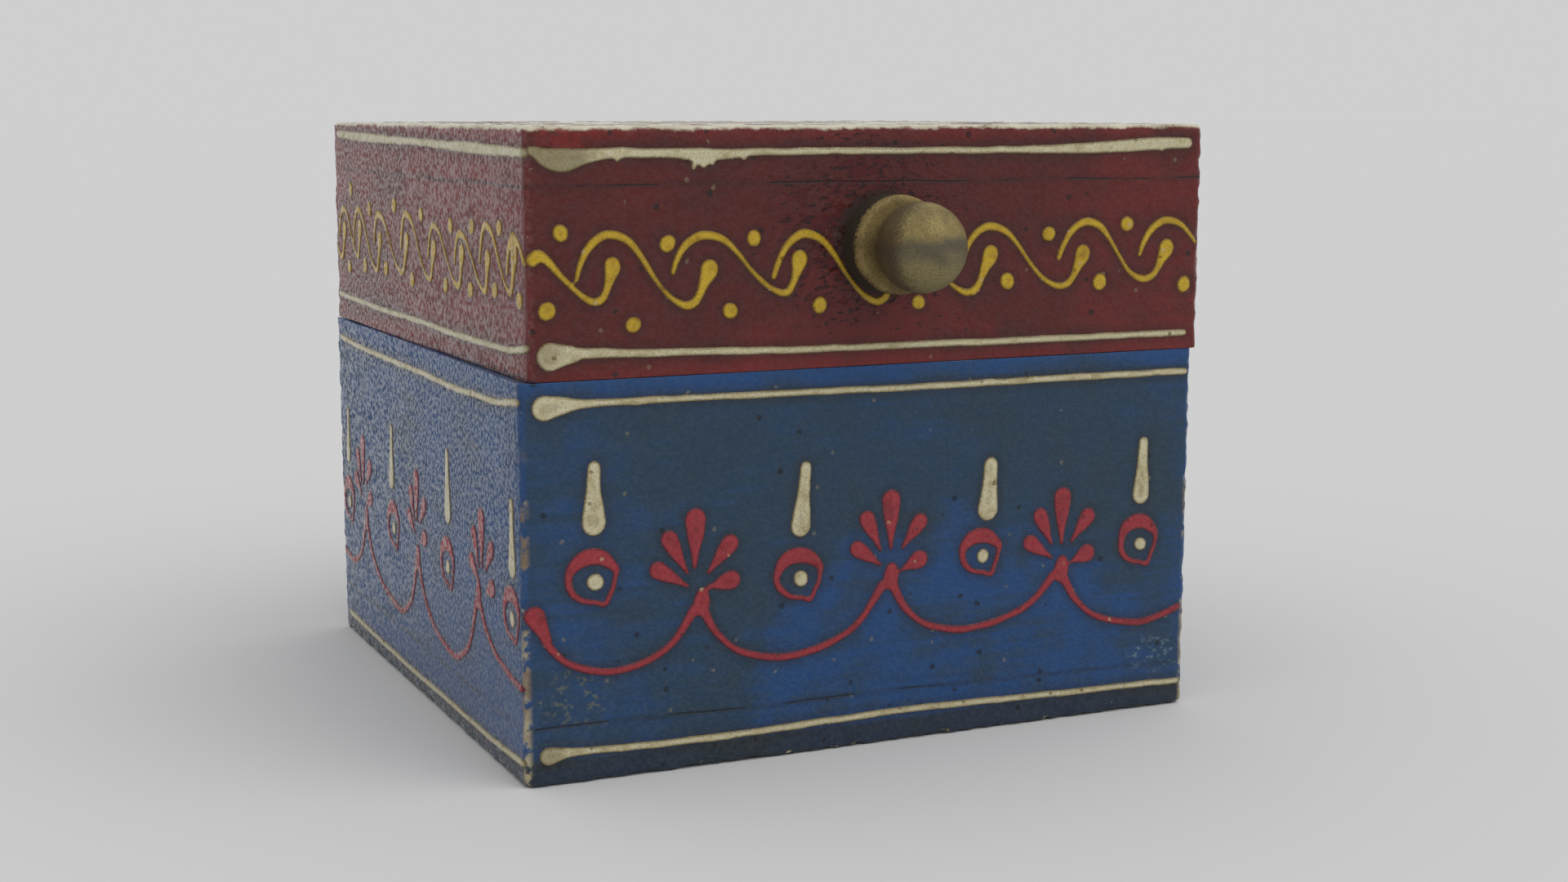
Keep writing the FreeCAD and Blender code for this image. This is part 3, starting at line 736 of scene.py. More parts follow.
# %% The ten boards
spindle_hole = rod("spindle_hole", 3.2 * mm, (knob_x * mm, -0.06, knob_z * mm),
                   (knob_x * mm, -0.03, knob_z * mm))
keeper_low, keeper_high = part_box("keeper_pin")
keeper_mid = (keeper_low + keeper_high) / 2
keeper_hole = rod("keeper_hole", 1.2 * mm, (keeper_mid.x, keeper_low.y, keeper_mid.z),
                  (keeper_mid.x, -0.03, keeper_mid.z), 24)
boards = [painted_board("bottom_board", "base"),
          painted_board("base_front_board", "base", [keeper_hole]),
          painted_board("base_back_board", "base", hinge_seats("base"), -1),
          painted_board("base_left_board", "base"),
          painted_board("base_right_board", "base"),
          painted_board("top_board", "lid"),
          painted_board("lid_front_board", "lid", [spindle_hole]),
          painted_board("lid_back_board", "lid", hinge_seats("lid"), 1),
          painted_board("lid_left_board", "lid"),
          painted_board("lid_right_board", "lid")]
print("boards:", {b.name: len(b.data.polygons) for b in boards})

# %% [markdown]
# ## Piped paint
# The ornament is squeezed from a paper cone, as icing is, so a stroke is a low raised cord of thick
# paint, wide where the hand stopped and thin where it hurried. Here a stroke is a smooth line through a
# few marks, each with its place on the face and its half width. A bevelled curve makes the cord, and its
# points are then pressed onto the board behind it, so the cord follows every wave and rounded arris.

# %% A stroke through marks
steady = np.random.RandomState(11)


def smooth_line(marks, closed=False, spacing=0.5):
    """Points along a smooth line through marks of (across, up, half width), in millimetres."""
    marks = np.array(marks, float)
    ends = (2 * marks[:1] - marks[1:2], 2 * marks[-1:] - marks[-2:-1])
    before, after = (marks[-1:], marks[:2]) if closed else ends
    around = np.vstack((before, marks, after))
    runs = []
    for a, b, c, d in zip(around, around[1:], around[2:], around[3:]):
        count = max(2, math.ceil(math.dist(b[:2], c[:2]) / spacing))
        t = np.linspace(0, 1, count, endpoint=False)[:, None]
        square, cube = 2 * a - 5 * b + 4 * c - d, 3 * b - a - 3 * c + d
        runs.append(0.5 * (2 * b + (c - a) * t + square * t**2 + cube * t**3))
    if not closed:
        runs.append(marks[-1:])
    return np.vstack(runs)


def rounded_ends(line):
    """Adds a round cap to both ends."""
    caps = []
    for end, inner in ((0, 1), (-1, -2)):
        heading = line[end, :2] - line[inner, :2]
        heading = heading / (np.linalg.norm(heading) or 1)
        cap = [(*(line[end, :2] + heading * line[end, 2] * math.sin(a)), line[end, 2] * math.cos(a))
               for a in (0.4, 0.8, 1.15, 1.42)]
        caps.append(cap)
    return np.vstack((caps[0][::-1], line, caps[1]))


def unsteady(line, amount):
    """The small tremble of a hand, about one wave in five millimetres."""
    reach = np.concatenate(([0], np.cumsum(np.linalg.norm(np.diff(line[:, :2], axis=0), axis=1))))
    knots = np.arange(0, reach[-1] + 5, 2.5)
    for column, size in ((0, amount), (1, amount), (2, amount * 0.6)):
        line[:, column] += np.interp(reach, knots, steady.uniform(-size, size, len(knots)))
    line[:, 2] = np.maximum(line[:, 2], 0.2)
    return line


print("a hand with seed 11 draws")

# %% Strokes and dots on a face
strokes = {}
brink = 0.8             # strokes stop this far from the face's edge
cream_swell = 0.07      # the cream was piped a little thicker


def face_ends(body, side):
    """The left and right ends of a face, as its own across runs."""
    low, high = carcass[body]
    ends = {"front": (low[0], high[0]), "back": (-high[0], -low[0]), "top": (low[0], high[0])}
    left, right = ends.get(side, (low[1], high[1]))
    return left + brink, right - brink


def stroke(where, colour, marks, closed=False, tremble=0.1):
    line = smooth_line(marks, closed)
    if colour == "cream":
        line[:, 2] += cream_swell
    left, right = face_ends(*where)
    line = line[(line[:, 0] > left) & (line[:, 0] < right)]
    if len(line) < 3:
        return
    if not closed:
        line = rounded_ends(unsteady(line, tremble))
    strokes.setdefault((where, colour), []).append((line, closed))


def dot(where, colour, across, up, size):
    lean = steady.uniform(-0.13, 0.13, 2)
    stroke(where, colour, [(across - lean[0], up - lean[1], size * 0.94), (across, up, size),
                           (across + lean[0], up + lean[1], size * 0.9)], tremble=0.03)


print("front of the lid runs from", *np.round(face_ends("lid", "front"), 1))

# %% [markdown]
# ## The motifs
# Four motifs make the whole pattern: a running scroll with dots on the lid, and on the base a garland
# whose cusps carry palmettes, with rings and drops between them, all framed by cream lines. They are
# common folk motifs, and each is written once; the places along the front and the left side were read off
# the photograph.

# %% Lid: running scroll and dots
scroll = ((0.1, 0.3, 0.42), (0.6, 1.9, 0.52), (1.65, 4.0, 0.6), (3.1, 5.3, 0.64), (4.6, 5.7, 0.66),
          (6.8, 4.9, 0.56), (8.6, 2.9, 0.46), (10.6, 0, 0.40), (12.6, -2.2, 0.44), (14.6, -3.3, 0.58),
          (16.0, -2.9, 0.62), (16.9, -1.4, 0.60), (17.5, 0.4, 0.85), (18.0, 1.7, 1.20), (18.2, 2.5, 1.28))
(crest_x, crest_z), (trough_x, trough_z), (tail_x, tail_z) = (scroll[i][:2] for i in (4, 9, -1))


def running_scroll(side, places, lead=4.8):
    """Scrolls, each given by its crest, the trough after it and the blob at its tail; a scroll starts by
    that lead before its crest."""
    for (crest, top), (trough, under), (tail, end) in places:
        wide, tall = (trough - crest) / (trough_x - crest_x), (top - under) / (crest_z - trough_z)
        hook, lift = (tail - trough) / (tail_x - trough_x), (end - under) / (tail_z - trough_z)
        marks = [(crest + (dx - crest_x) * (wide if dx > crest_x else lead / crest_x),
                  under + (dz - trough_z) * tall, half + 0.01) for dx, dz, half in scroll[:10]]
        marks += [(trough + (dx - trough_x) * hook, under + (dz - trough_z) * lift, half + 0.02)
                  for dx, dz, half in scroll[10:]]
        stroke(("lid", side), "yellow", marks, tremble=0.1)


def dots(side, places, colour="yellow", size=1.24):
    for across, up in places:
        dot(("lid", side), colour, across, up, size + steady.uniform(-0.08, 0.08))


stroke(("lid", "front"), "yellow",
       ((-49.0, 67.7, 0.7), (-48.2, 69.1, 0.95), (-46.9, 68.6, 0.7), (-44.9, 66.4, 0.46),
        (-42.8, 64.3, 0.46), (-40.9, 63.1, 0.58), (-39.6, 63.4, 0.62), (-38.9, 64.6, 0.6),
        (-38.4, 66.1, 0.85), (-38.1, 67.2, 1.2), (-38.1, 67.7, 1.2)), tremble=0.05)
running_scroll("front",
               (((-38.3, 71.7), (-28.3, 62.2), (-24.7, 66.9)),
                ((-25.2, 71.3), (-14.1, 63.3), (-11.8, 67.8)),
                ((-10.8, 71.1), (-0.6, 61.8), (3.1, 67.4)), ((3.4, 71.3), (13.4, 62.5), (17.2, 67.6)),
                ((17.4, 71.5), (28.2, 62.8), (32.2, 67.4)), ((33.0, 71.8), (42.1, 63.4), (46.3, 67.8)),
                ((46.4, 71.8), (57.0, 63.4), (60.0, 68.0))))
dots("front", ((-45.0, 71.9), (-30.5, 70.3), (-18.4, 70.7), (26.6, 70.2), (39.5, 71.3), (-47.0, 62.1),
               (-35.3, 60.0), (-21.8, 61.3), (-8.8, 61.6), (6.1, 61.4), (20.0, 63.8), (35.1, 63.3),
               (49.4, 62.5)))
running_scroll("left",
               (((-56.0, 71.5), (-46.6, 63.3), (-44.0, 68.2)),
                ((-44.4, 71.3), (-35.8, 64.0), (-33.9, 68.8)),
                ((-34.9, 71.6), (-24.4, 62.5), (-21.5, 67.6)),
                ((-21.9, 71.3), (-9.5, 63.2), (-5.9, 68.2)), ((-6.0, 72.1), (5.7, 63.2), (8.4, 67.8)),
                ((8.6, 71.0), (20.1, 63.3), (22.4, 68.0)), ((21.9, 70.6), (32.5, 63.5), (34.2, 67.9)),
                ((33.8, 72.3), (43.3, 64.0), (45.5, 69.2)), ((45.4, 71.4), (54.0, 63.2), (57.0, 68.0))),
               3.2)
dots("left", ((-39.2, 74.6), (-27.5, 71.9), (-12.6, 73.0), (2.2, 72.3), (17.1, 71.4), (27.2, 71.8),
              (39.4, 72.1), (-41.3, 62.0), (-31.1, 62.8), (-18.2, 63.2), (-3.3, 62.5), (14.1, 63.0),
              (26.1, 63.2), (37.0, 63.9), (47.2, 63.3)), size=1.34)
for side, first in (("right", -50.4), ("back", -52.9)):
    crests = [first + 14.2 * i + steady.uniform(-0.8, 0.8) for i in range(8)]
    running_scroll(side,
                   [((c, 71.9 + steady.uniform(-0.5, 0.5)), (c + 10.2, 62.9 + steady.uniform(-0.4, 0.4)),
                     (c + 13.6, 67.6)) for c in crests])
    dots(side, [(c - 6.5, 71.8 + steady.uniform(-0.7, 0.7)) for c in crests[1:]])
    dots(side, [(c + 3.0, 62.2 + steady.uniform(-0.9, 0.9)) for c in crests])

print("lid scrolls and dots:", sum(len(s) for s in strokes.values()))

# %% Lid: cream lines
line_w = 0.5
lid_lines = {"front": (((-48.5, 82.3, 0.6), (-46.5, 81.3, 1.25), (-44.3, 81.0, 1.5), (-41.4, 81.5, 0.95),
                        (-37.5, 81.9, 0.7), (-30, 81.8, 0.62), (-25.5, 81.6, 0.9), (-21, 81.7, 0.6),
                        (-14.1, 81.9, line_w), (19.3, 81.9, line_w), (34.1, 82.1, 0.8),
                        (42.0, 82.5, 0.95), (49.4, 82.6, 0.8)),
                       ((-46.6, 56.4, 1.85), (-43.6, 56.5, 1.1), (-39.7, 56.5, 0.62),
                        (-14.1, 55.8, line_w), (22.3, 55.5, line_w), (49.6, 55.4, line_w))),
             "left": (((-46.7, 83.4, 0.6), (-28.2, 83.0, 0.75), (1.7, 82.7, 0.6), (26.6, 82.3, 0.8),
                       (50.0, 82.0, 0.65)),
                      ((-48.5, 57.1, 0.5), (-20.4, 56.6, 0.5), (-1.3, 56.7, 0.5), (16.7, 56.4, 0.5),
                       (32.3, 56.5, 0.5), (43.1, 56.6, 0.52), (51.3, 57.7, 0.55))),
             "right": (((-47.5, 82.5, 1.4), (-42, 82.6, 0.8), (0, 82.9, 0.65), (48.4, 82.5, 0.7)),
                       ((-47.4, 57.2, 1.5), (-42, 57.0, 0.8), (0, 56.5, 0.6), (48.4, 56.9, 0.65))),
             "back": (((-49.4, 82.6, 1.5), (-44, 82.4, 0.8), (0, 82.8, 0.65), (48.2, 82.4, 0.7)),
                      ((-49.4, 58.4, 1.3), (-44, 58.3, 0.7), (0, 58.0, 0.6), (48.2, 58.5, 0.65)))}
for side, lines in lid_lines.items():
    for marks in lines:
        stroke(("lid", side), "cream", marks, tremble=0.07)
for across, up, size in ((-26.6, 80.8, 0.5), (-25.4, 80.4, 0.55), (-24.3, 80.7, 0.45),
                         (-26.9, 79.9, 0.25), (-19.8, 81.2, 0.4), (-37.2, 81.2, 0.4), (36.2, 81.7, 0.45),
                         (38.5, 81.9, 0.5), (45.0, 82.0, 0.5)):
    dot(("lid", "front"), "cream", across, up, size)
print("lid strokes:", sum(len(s) for s in strokes.values()))

# %% Base: garland, palmettes, rings and drops
falling = ((0, 0, 0.75), (0.08, 0.24, 0.6), (0.22, 0.54, 0.5), (0.5, 0.83, 0.46), (1, 1, 0.5))
rising = ((0.3, 0.06, 0.5), (0.58, 0.24, 0.48), (0.73, 0.44, 0.5), (0.83, 0.67, 0.56), (0.92, 0.9, 0.7))


def garland(side, points):
    """Swags through cusps and dips in turn; they leave a cusp steeply and lie flat in the dip."""
    for start, dip, end in zip(points[::2], points[1::2], points[2::2]):
        marks = [(u0 + (u1 - u0) * t, v0 + (v1 - v0) * d, half + 0.1)
                 for (u0, v0), (u1, v1), shape in ((start, dip, falling), (dip, end, rising))
                 for t, d, half in shape]
        stroke(("base", side), "garland", marks, tremble=0.07)


petals = (((-0.1, 4.1), (0.0, 10.7), 1.42), ((-1.6, 3.9), (-3.6, 8.2), 1.18),
          ((-1.5, 1.9), (-5.0, 4.3), 1.16), ((1.7, 4.0), (4.4, 7.4), 1.2), ((1.7, 1.0), (4.3, 2.1), 1.3))
leaning_petals = (((-1.0, 5.0), (-0.8, 11.3), 1.46), ((-2.0, 4.3), (-4.6, 9.0), 1.2),
                  ((-2.0, 2.5), (-6.3, 5.1), 1.2), ((0.9, 4.0), (4.0, 7.6), 1.25),
                  ((0.9, 2.1), (4.4, 2.8), 1.3))
teardrop = ((0, 0.26), (0.3, 0.48), (0.65, 0.88), (1, 1.1))
leaning_one = ("front", -26.1)


def palmette(side, across, up, size=1.0, aside=0.0, above=0.0):
    """Five teardrops that fan out above a cusp, which is a drop of paint itself; a hand may set them a little
    off, and one on the front leans."""
    cusp = [(across, up - 0.7, 1.15), (across + 0.1, up + 0.5, 1.3), (across + 0.15, up + 1.2, 1.0)]
    stroke(("base", side), "garland", cusp, tremble=0.05)
    for (u0, v0), (u1, v1), wide in leaning_petals if (side, across) == leaning_one else petals:
        grow = size * steady.uniform(0.98, 1.02)
        shift = steady.uniform(-0.1, 0.1)
        marks = [(across + aside + (u0 + (u1 - u0) * t) * grow + shift,
                  up + above + (v0 + (v1 - v0) * t) * grow, wide * share) for t, share in teardrop]
        stroke(("base", side), "garland", marks, tremble=0.05)


def ring(side, across, up, wide=3.0, high=2.8, seed=1.12):
    """A ring that is thick above and drawn out below, with a cream dot in it."""
    marks = []
    for degrees in range(0, 360, 20):
        angle = math.radians(degrees)
        crown = max(0.0, math.sin(angle)) ** 1.5
        tail, corner = (math.exp(-((degrees - at) / 15) ** 2) for at in (300, 20))
        left = (math.cos(angle) < 0) * math.cos(angle) ** 2
        reach = wide + 0.15 + 0.5 * tail + 0.25 * corner
        marks.append((across + reach * math.cos(angle) + steady.uniform(-0.1, 0.1),
                      up + (high + 0.1 + 1.0 * tail) * math.sin(angle), 0.44 + 0.16 * left + 0.78 * crown))
    stroke(("base", side), "garland", marks, closed=True)
    dot(("base", side), "cream", across + 0.4, up - 0.4, seed)


def drop(side, top, foot, wide=1.5, top_share=0.52):
    """A cream drop that widens towards its foot."""
    (u0, v0), (u1, v1) = top, foot
    shares = zip((0, 0.4, 0.75, 1), (top_share, 0.2 + top_share * 0.75, 0.86, 1.0))
    marks = [(u0 + (u1 - u0) * t, v0 + (v1 - v0) * t, wide * share) for t, share in shares]
    stroke(("base", side), "cream", marks, tremble=0.06)


print("motifs:", [motif.__name__ for motif in (garland, palmette, ring, drop)])

# %% Base: where the motifs lie
base_motifs = {"front": dict(swags=((-49.2, 22.6), (-39.3, 14.6), (-26.1, 22.5), (-14.7, 13.9),
                                    (2.2, 23.4), (12.9, 15.0), (29.6, 22.1), (42.1, 13.2), (57.5, 22.0)),
                             palmettes=((1.0,), (1.04,), (1.0,)),
                             rings=((-41.4, 27.1, 3.05, 2.9, 1.25), (-11.9, 24.9, 3.05, 2.8, 1.15),
                                    (16.3, 25.6, 2.8, 2.5, 1.05), (42.6, 25.2, 2.8, 2.9, 1.02)),
                             drops=(((-41.0, 41.7), (-41.1, 34.5), 1.68, 0.52),
                                    ((-10.8, 39.8), (-11.6, 31.8), 1.5, 0.54),
                                    ((17.9, 38.1), (17.4, 31.9), 1.65, 0.68),
                                    ((43.2, 39.7), (42.9, 32.1), 1.45, 0.56))),
               "left": dict(swags=((-58.0, 21.3), (-43.8, 12.9), (-33.4, 21.5), (-13.5, 10.7),
                                   (-1.3, 21.0), (16.5, 10.4), (30.4, 21.7), (48.5, 13.4), (63.4, 22.1)),
                            palmettes=((1.0, -1.2, 1.6), (0.95, 0.0, 1.8), (1.0, 2.0, 0.2)),
                            rings=((-45.0, 22.9), (-15.7, 23.5), (15.0, 23.3), (45.4, 22.2)),
                            drops=(((-44.1, 37.8), (-44.7, 30.4), 1.3), ((-15.6, 38.5), (-16.0, 30.6)),
                                   ((16.0, 39.3), (15.8, 30.8), 1.6), ((46.1, 37.0), (46.2, 28.8)))),
               "right": dict(swags=((-59.5, 21.6), (-45.5, 13.2), (-31.0, 22.2), (-16.2, 12.4),
                                    (-0.8, 22.8), (14.0, 12.8), (29.6, 22.0), (44.0, 12.9),
                                    (60.0, 22.0)), palmettes=((0.96,), (1.0,), (0.95,)),
                             rings=((-45.0, 25.6), (-16.0, 25.1), (14.4, 24.8), (44.6, 25.4)),
                             drops=(((-44.6, 40.6), (-45.0, 32.2)), ((-15.4, 39.6), (-16.1, 31.4)),
                                    ((14.8, 39.9), (14.4, 31.2)), ((44.9, 40.3), (44.5, 32.0)))),
               "back": dict(swags=((-61.0, 21.4), (-46.0, 12.8), (-30.4, 22.5), (-14.8, 13.1),
                                   (0.6, 22.1), (15.4, 12.7), (31.0, 22.6), (45.4, 13.3), (61.0, 22.0)),
                            palmettes=((1.0,), (0.93,), (0.98,)),
                            rings=((-44.8, 24.9), (-15.0, 25.4), (16.2, 25.0), (45.2, 24.6)),
                            drops=(((-44.0, 39.8), (-44.6, 31.6)), ((-14.5, 40.4), (-15.0, 32.0)),
                                   ((16.0, 39.4), (16.4, 31.2)), ((45.4, 39.9), (45.0, 31.4))))}
base_lines = {"front": (((-47.5, 49.8, 1.7), (-44.8, 50.0, 1.15), (-41.8, 50.1, 0.6),
                         (-34.4, 50.1, 0.48), (-15, 50.0, 0.48), (5, 49.8, 0.49), (50.0, 49.8, 0.5)),
                        ((-47.7, 4.2, 1.3), (-43.7, 4.3, 0.6), (-34.9, 4.0, 0.5), (-22, 3.9, 0.5),
                         (5.3, 4.3, 0.5), (34.8, 3.8, 0.47), (50.0, 3.6, 0.48))),
              "left": (((-47.7, 49.9, 0.5), (-34.2, 49.5, 0.5), (-14.9, 49.4, 0.5), (6.4, 49.4, 0.5),
                        (19.5, 49.2, 0.5), (31.7, 49.5, 0.5), (39.3, 49.6, 0.52), (49.9, 50.7, 0.55)),
                       ((-46.6, 3.2, 0.5), (-17.2, 2.7, 0.5), (12.1, 2.8, 0.5), (31.9, 2.8, 0.5),
                        (49.7, 3.3, 0.55))),
              "right": (((-47.2, 50.0, 1.5), (-42, 50.1, 0.8), (0, 49.8, 0.6), (48.4, 50.2, 0.6)),
                        ((-47.2, 3.8, 1.3), (-42, 3.7, 0.8), (0, 3.2, 0.6), (48.4, 3.0, 0.6))),
              "back": (((-47.5, 48.2, 1.5), (-42, 48.3, 0.8), (0, 48.0, 0.6), (48.4, 48.4, 0.6)),
                       ((-47.5, 3.6, 1.2), (-42, 3.5, 0.7), (0, 3.3, 0.6), (48.4, 3.4, 0.6)))}
for side, motif in base_motifs.items():
    garland(side, motif["swags"])
    for cusp, form in zip(motif["swags"][2:-1:2], motif["palmettes"]):
        palmette(side, *cusp, *form)
    for place in motif["rings"]:
        ring(side, *place)
    for place in motif["drops"]:
        drop(side, *place)
    for marks in base_lines[side]:
        stroke(("base", side), "cream", marks, tremble=0.06)
stroke(("base", "front"), "garland", ((-49.2, 22.8, 1.5), (-48.4, 21.2, 1.1), (-47.5, 19.6, 0.6)),
       tremble=0.03)
print("strokes so far:", sum(len(s) for s in strokes.values()))

# %% [markdown]
# ## The lid's top
# Only a sliver of the top shows from the front: a pale ground with red, green and yellow marks. What lies
# further in isn't seen, so a plain rosette with leaves, in the same strokes, fills it inside a double
# border.

# %% Top: rosette and borders
def top_petal(colour, angle, start, end, wide, bend=0.0):
    """A teardrop that points away from the top's middle, from one radius to another."""
    marks = []
    for share, thick in ((0, 0.4), (0.5, 0.85), (1, 1.0)):
        r = start + (end - start) * share
        a = angle + bend * share
        marks.append((lid_shift + r * math.cos(a), r * math.sin(a), wide * thick))
    stroke(("lid", "top"), colour, marks, tremble=0.08)


for i in range(12):
    angle = math.radians(30 * i + 8)
    top_petal("garland", angle, 4.5, 13.5, 1.7)
    top_petal("leaf", angle + math.radians(15), 10.5, 18.5, 1.35, 0.12)
    dot(("lid", "top"), "yellow", lid_shift + 17 * math.cos(angle), 17 * math.sin(angle), 1.15)
for i in range(4):
    corner = math.radians(90 * i + 45)
    for lean, end in ((-0.24, 44.0), (0, 50.0), (0.24, 44.0)):
        top_petal("garland", corner + lean, 36.5, end, 1.6, 0)
    for lean in (-0.42, 0.42):
        top_petal("leaf", corner + lean, 33.5, 40.5, 1.4, lean * 0.3)
    dot(("lid", "top"), "yellow", lid_shift + 33 * math.cos(corner), 33 * math.sin(corner), 1.4)
dot(("lid", "top"), "yellow", lid_shift, 0, 2.4)


def top_border(colour, reach, wide, dashes):
    """Short leaves in a row round the top, at that distance from its middle."""
    for turn_by in range(4):
        a = math.radians(90 * turn_by)
        for i in range(dashes):
            middle = reach * (2 * (i + 0.5) / dashes - 1) + steady.uniform(-0.5, 0.5)
            marks = [(lid_shift + (reach + lean) * math.cos(a) - (middle + along) * math.sin(a),
                      (reach + lean) * math.sin(a) + (middle + along) * math.cos(a), wide * share)
                     for along, lean, share in ((-1.6, -0.3, 0.5), (0, 0.2, 1.0), (1.6, -0.2, 0.4))]
            stroke(("lid", "top"), colour, marks, tremble=0.1)


top_border("leaf", 46.6, 0.6, 11)
top_border("garland", 43.0, 0.7, 8)
for turn_by in range(4):
    a = math.radians(90 * turn_by)
    for step in range(-3, 4):
        along, out = step * 12.2, 39.0
        dot(("lid", "top"), "yellow", lid_shift + out * math.cos(a) - along * math.sin(a),
            out * math.sin(a) + along * math.cos(a), 1.0)
print("strokes with the top:", sum(len(s) for s in strokes.values()))

# %% [markdown]
# ## Laying the strokes on the boards
# A cord of paint is round only in the air. On the board it flattens, runs into its neighbours and keeps a
# thin edge. So the cords of one colour on one face are made as bevelled curves, joined by a voxel remesh,
# and every point is then sent along the face's direction until it meets the board. A pad's height follows
# from how far a point lies inside its edge, and that distance stays on the mesh for the paint to read.

# %% Cords of paint
paint_height, top_paint_height = 0.13, 0.05
outlook = {"front": ((1, 0, 0), (0, 0, 1), (0, -1, 0)), "right": ((0, 1, 0), (0, 0, 1), (1, 0, 0)),
           "back": ((-1, 0, 0), (0, 0, 1), (0, 1, 0)), "left": ((0, -1, 0), (0, 0, 1), (-1, 0, 0)),
           "top": ((1, 0, 0), (0, 1, 0), (0, 0, 1))}


def surface_of(pieces):
    points, faces = [], []
    for piece in pieces:
        first = len(points)
        points += [v.co.copy() for v in piece.data.vertices]
        faces += [[first + i for i in face.vertices] for face in piece.data.polygons]
    return BVHTree.FromPolygons(points, faces)


def bent_cord(name, lines, roundness=2):
    """Round cords through points of (x, y, z, half width), in millimetres, as one mesh."""
    curve = bpy.data.curves.new(name, "CURVE")
    curve.dimensions = "3D"
    curve.bevel_depth = mm
    curve.bevel_resolution = roundness
    curve.use_fill_caps = True
    for line, closed in lines:
        spline = curve.splines.new("POLY")
        spline.points.add(len(line) - 1)
        for point, (x, y, z, half) in zip(spline.points, line):
            point.co = (x * mm, y * mm, z * mm, 1)
            point.radius = half
        spline.use_cyclic_u = closed
    piece = bpy.data.objects.new(name, curve)
    bpy.context.scene.collection.objects.link(piece)
    pick(piece)
    bpy.ops.object.convert(target="MESH")
    return bpy.context.object


def corded(name, lines):
    """Strokes as round cords that lie in the plane y = 0."""
    return bent_cord(name, [([(across, 0, up, half) for across, up, half in line], closed)
                            for line, closed in lines])


def run_together(piece):
    """Wet paint joins where strokes meet: one skin round all the cords, smoothed a little."""
    add_modifier(piece, "REMESH", mode="VOXEL", voxel_size=0.22 * mm)
    add_modifier(piece, "SMOOTH", factor=0.5, iterations=4)


print("faces to paint:", list(outlook))

# %% Pressing a cord onto a surface
brim_reach, edge_round, buried = 0.12, 0.2, 0.2


def pressed(piece, look, surface, height=paint_height, deepest=0.0):
    """Lays a cord on a surface as a low pad, and keeps how far each point is from the pad's edge, in
    millimetres, in the attribute inside. Over a hole, where the surface lies deeper than that, the cord spans
    it."""
    across, up, out = (Vector(axis) for axis in look)
    brim = [v.co for v in piece.data.vertices if abs(v.co.y) < brim_reach * mm]
    edge = KDTree(len(brim))
    for i, place in enumerate(brim):
        edge.insert((place.x, 0, place.z), i)
    edge.balance()
    inside = []
    for v in piece.data.vertices:
        u, w = v.co.x, v.co.z
        top = v.co.y < -0.05 * mm
        inside.append(edge.find((u, 0, w))[2] / mm if top else 0.0)
        lift = height * math.sqrt(1 - math.exp(-inside[-1] / edge_round)) if top else -buried
        start = across * u + up * w + out * 0.2
        hit = surface.ray_cast(start, -out)[0]
        if hit is None or hit.dot(out) < deepest * mm:
            hit = start + out * (deepest * mm - start.dot(out))
        v.co = hit + out * lift * mm
    piece.data.attributes.new("inside", "FLOAT", "POINT").data.foreach_set("value", inside)
    piece.data.update()
    smooth(piece, 60)


print("paint stands", paint_height, "mm high, on the top", top_paint_height)

# %% [markdown]
# ## Paint of the strokes
# Piped paint dries with a grainy, pitted top and gathers dirt at its foot. The foot colour therefore
# grows towards the pad's edge, which the attribute `inside` gives, and a few stains are set where
# handling left them.

# %% Four piping colours
def piped_paint(name, fresh, old, foot, flaws=0.3, stains=()):
    """Thick paint that thins to a dark, stained rim; the top is grainy, pitted and chipped here and there."""
    f = Finish(name)
    at = f.place()
    inside = f.attribute("inside")
    cloud = f.noise(at, 3.0, 3, 0.6)
    grit = f.noise(at, 0.35, 2)
    tone = f.mix(f.step(cloud, 0.38, 0.64), fresh, old)
    tone = f.mix((1 - f.step(inside + (grit - 0.5) * 0.16 + (cloud - 0.5) * 0.3, 0.0, 0.42)) * 0.9, tone,
                 foot)
    tone = f.mix(f.step(cloud, 0.55, 0.72) * 0.35, tone, foot)
    stain = f.step(inside, 0.7, 1.2) * f.step(f.noise(at, 2.2, 3, 0.6), 0.40, 0.62)
    tone = f.mix(stain * 0.25, tone, foot)
    x, y, z = f.axes(at)
    for across, up, reach, depth in stains:
        away = f.away(x - across, z - up) + (cloud - 0.5) * 3
        spot = (1 - f.step(away, reach * 0.5, reach)) * (1 - f.step(y, -49.5, -48))
        tone = f.mix(spot * depth, tone, foot)
    tone = f.mix(f.step(f.noise(at, 0.22, 1), 0.56, 0.66) * 0.35, tone, foot)
    tone = f.mix(f.specks(at, 2.4, 0.5, 0.4) * 0.7, tone, foot)
    tone = f.mix(f.specks(at, 2.0, flaws, 0.36) * 0.6, tone, srgb(180, 160, 120))
    film = f.step(f.noise(at, 0.6, 2), 0.36, 0.6)
    f.set(base_color=f.shaded(tone, 0.84 + 0.36 * grit), roughness=0.65 - 0.45 * film, ior=1.25,
          coat_weight=0.2 + 0.8 * film, coat_roughness=0.15, coat_ior=1.3)
    f.bump(grit + cloud * 1.4, 0.05)
    return f


cream_stains = ((-45.5, 81.4, 6, 0.6), (-47.6, 57.4, 3.2, 0.35), (-48.5, 4.0, 4, 0.5))
stroke_paints = {
    "cream": piped_paint("cream_piping", srgb(200, 193, 161), srgb(188, 178, 141), srgb(94, 77, 42),
                         stains=cream_stains),
    "yellow": piped_paint("yellow_piping", srgb(194, 162, 46), srgb(180, 147, 42), srgb(104, 74, 22)),
    "garland": piped_paint("red_piping", srgb(154, 54, 61), srgb(143, 50, 57), srgb(80, 36, 44), flaws=0.12),
    "leaf": piped_paint("green_piping", srgb(60, 110, 66), srgb(48, 92, 58), srgb(30, 50, 32))}
print("piping paints:", list(stroke_paints))

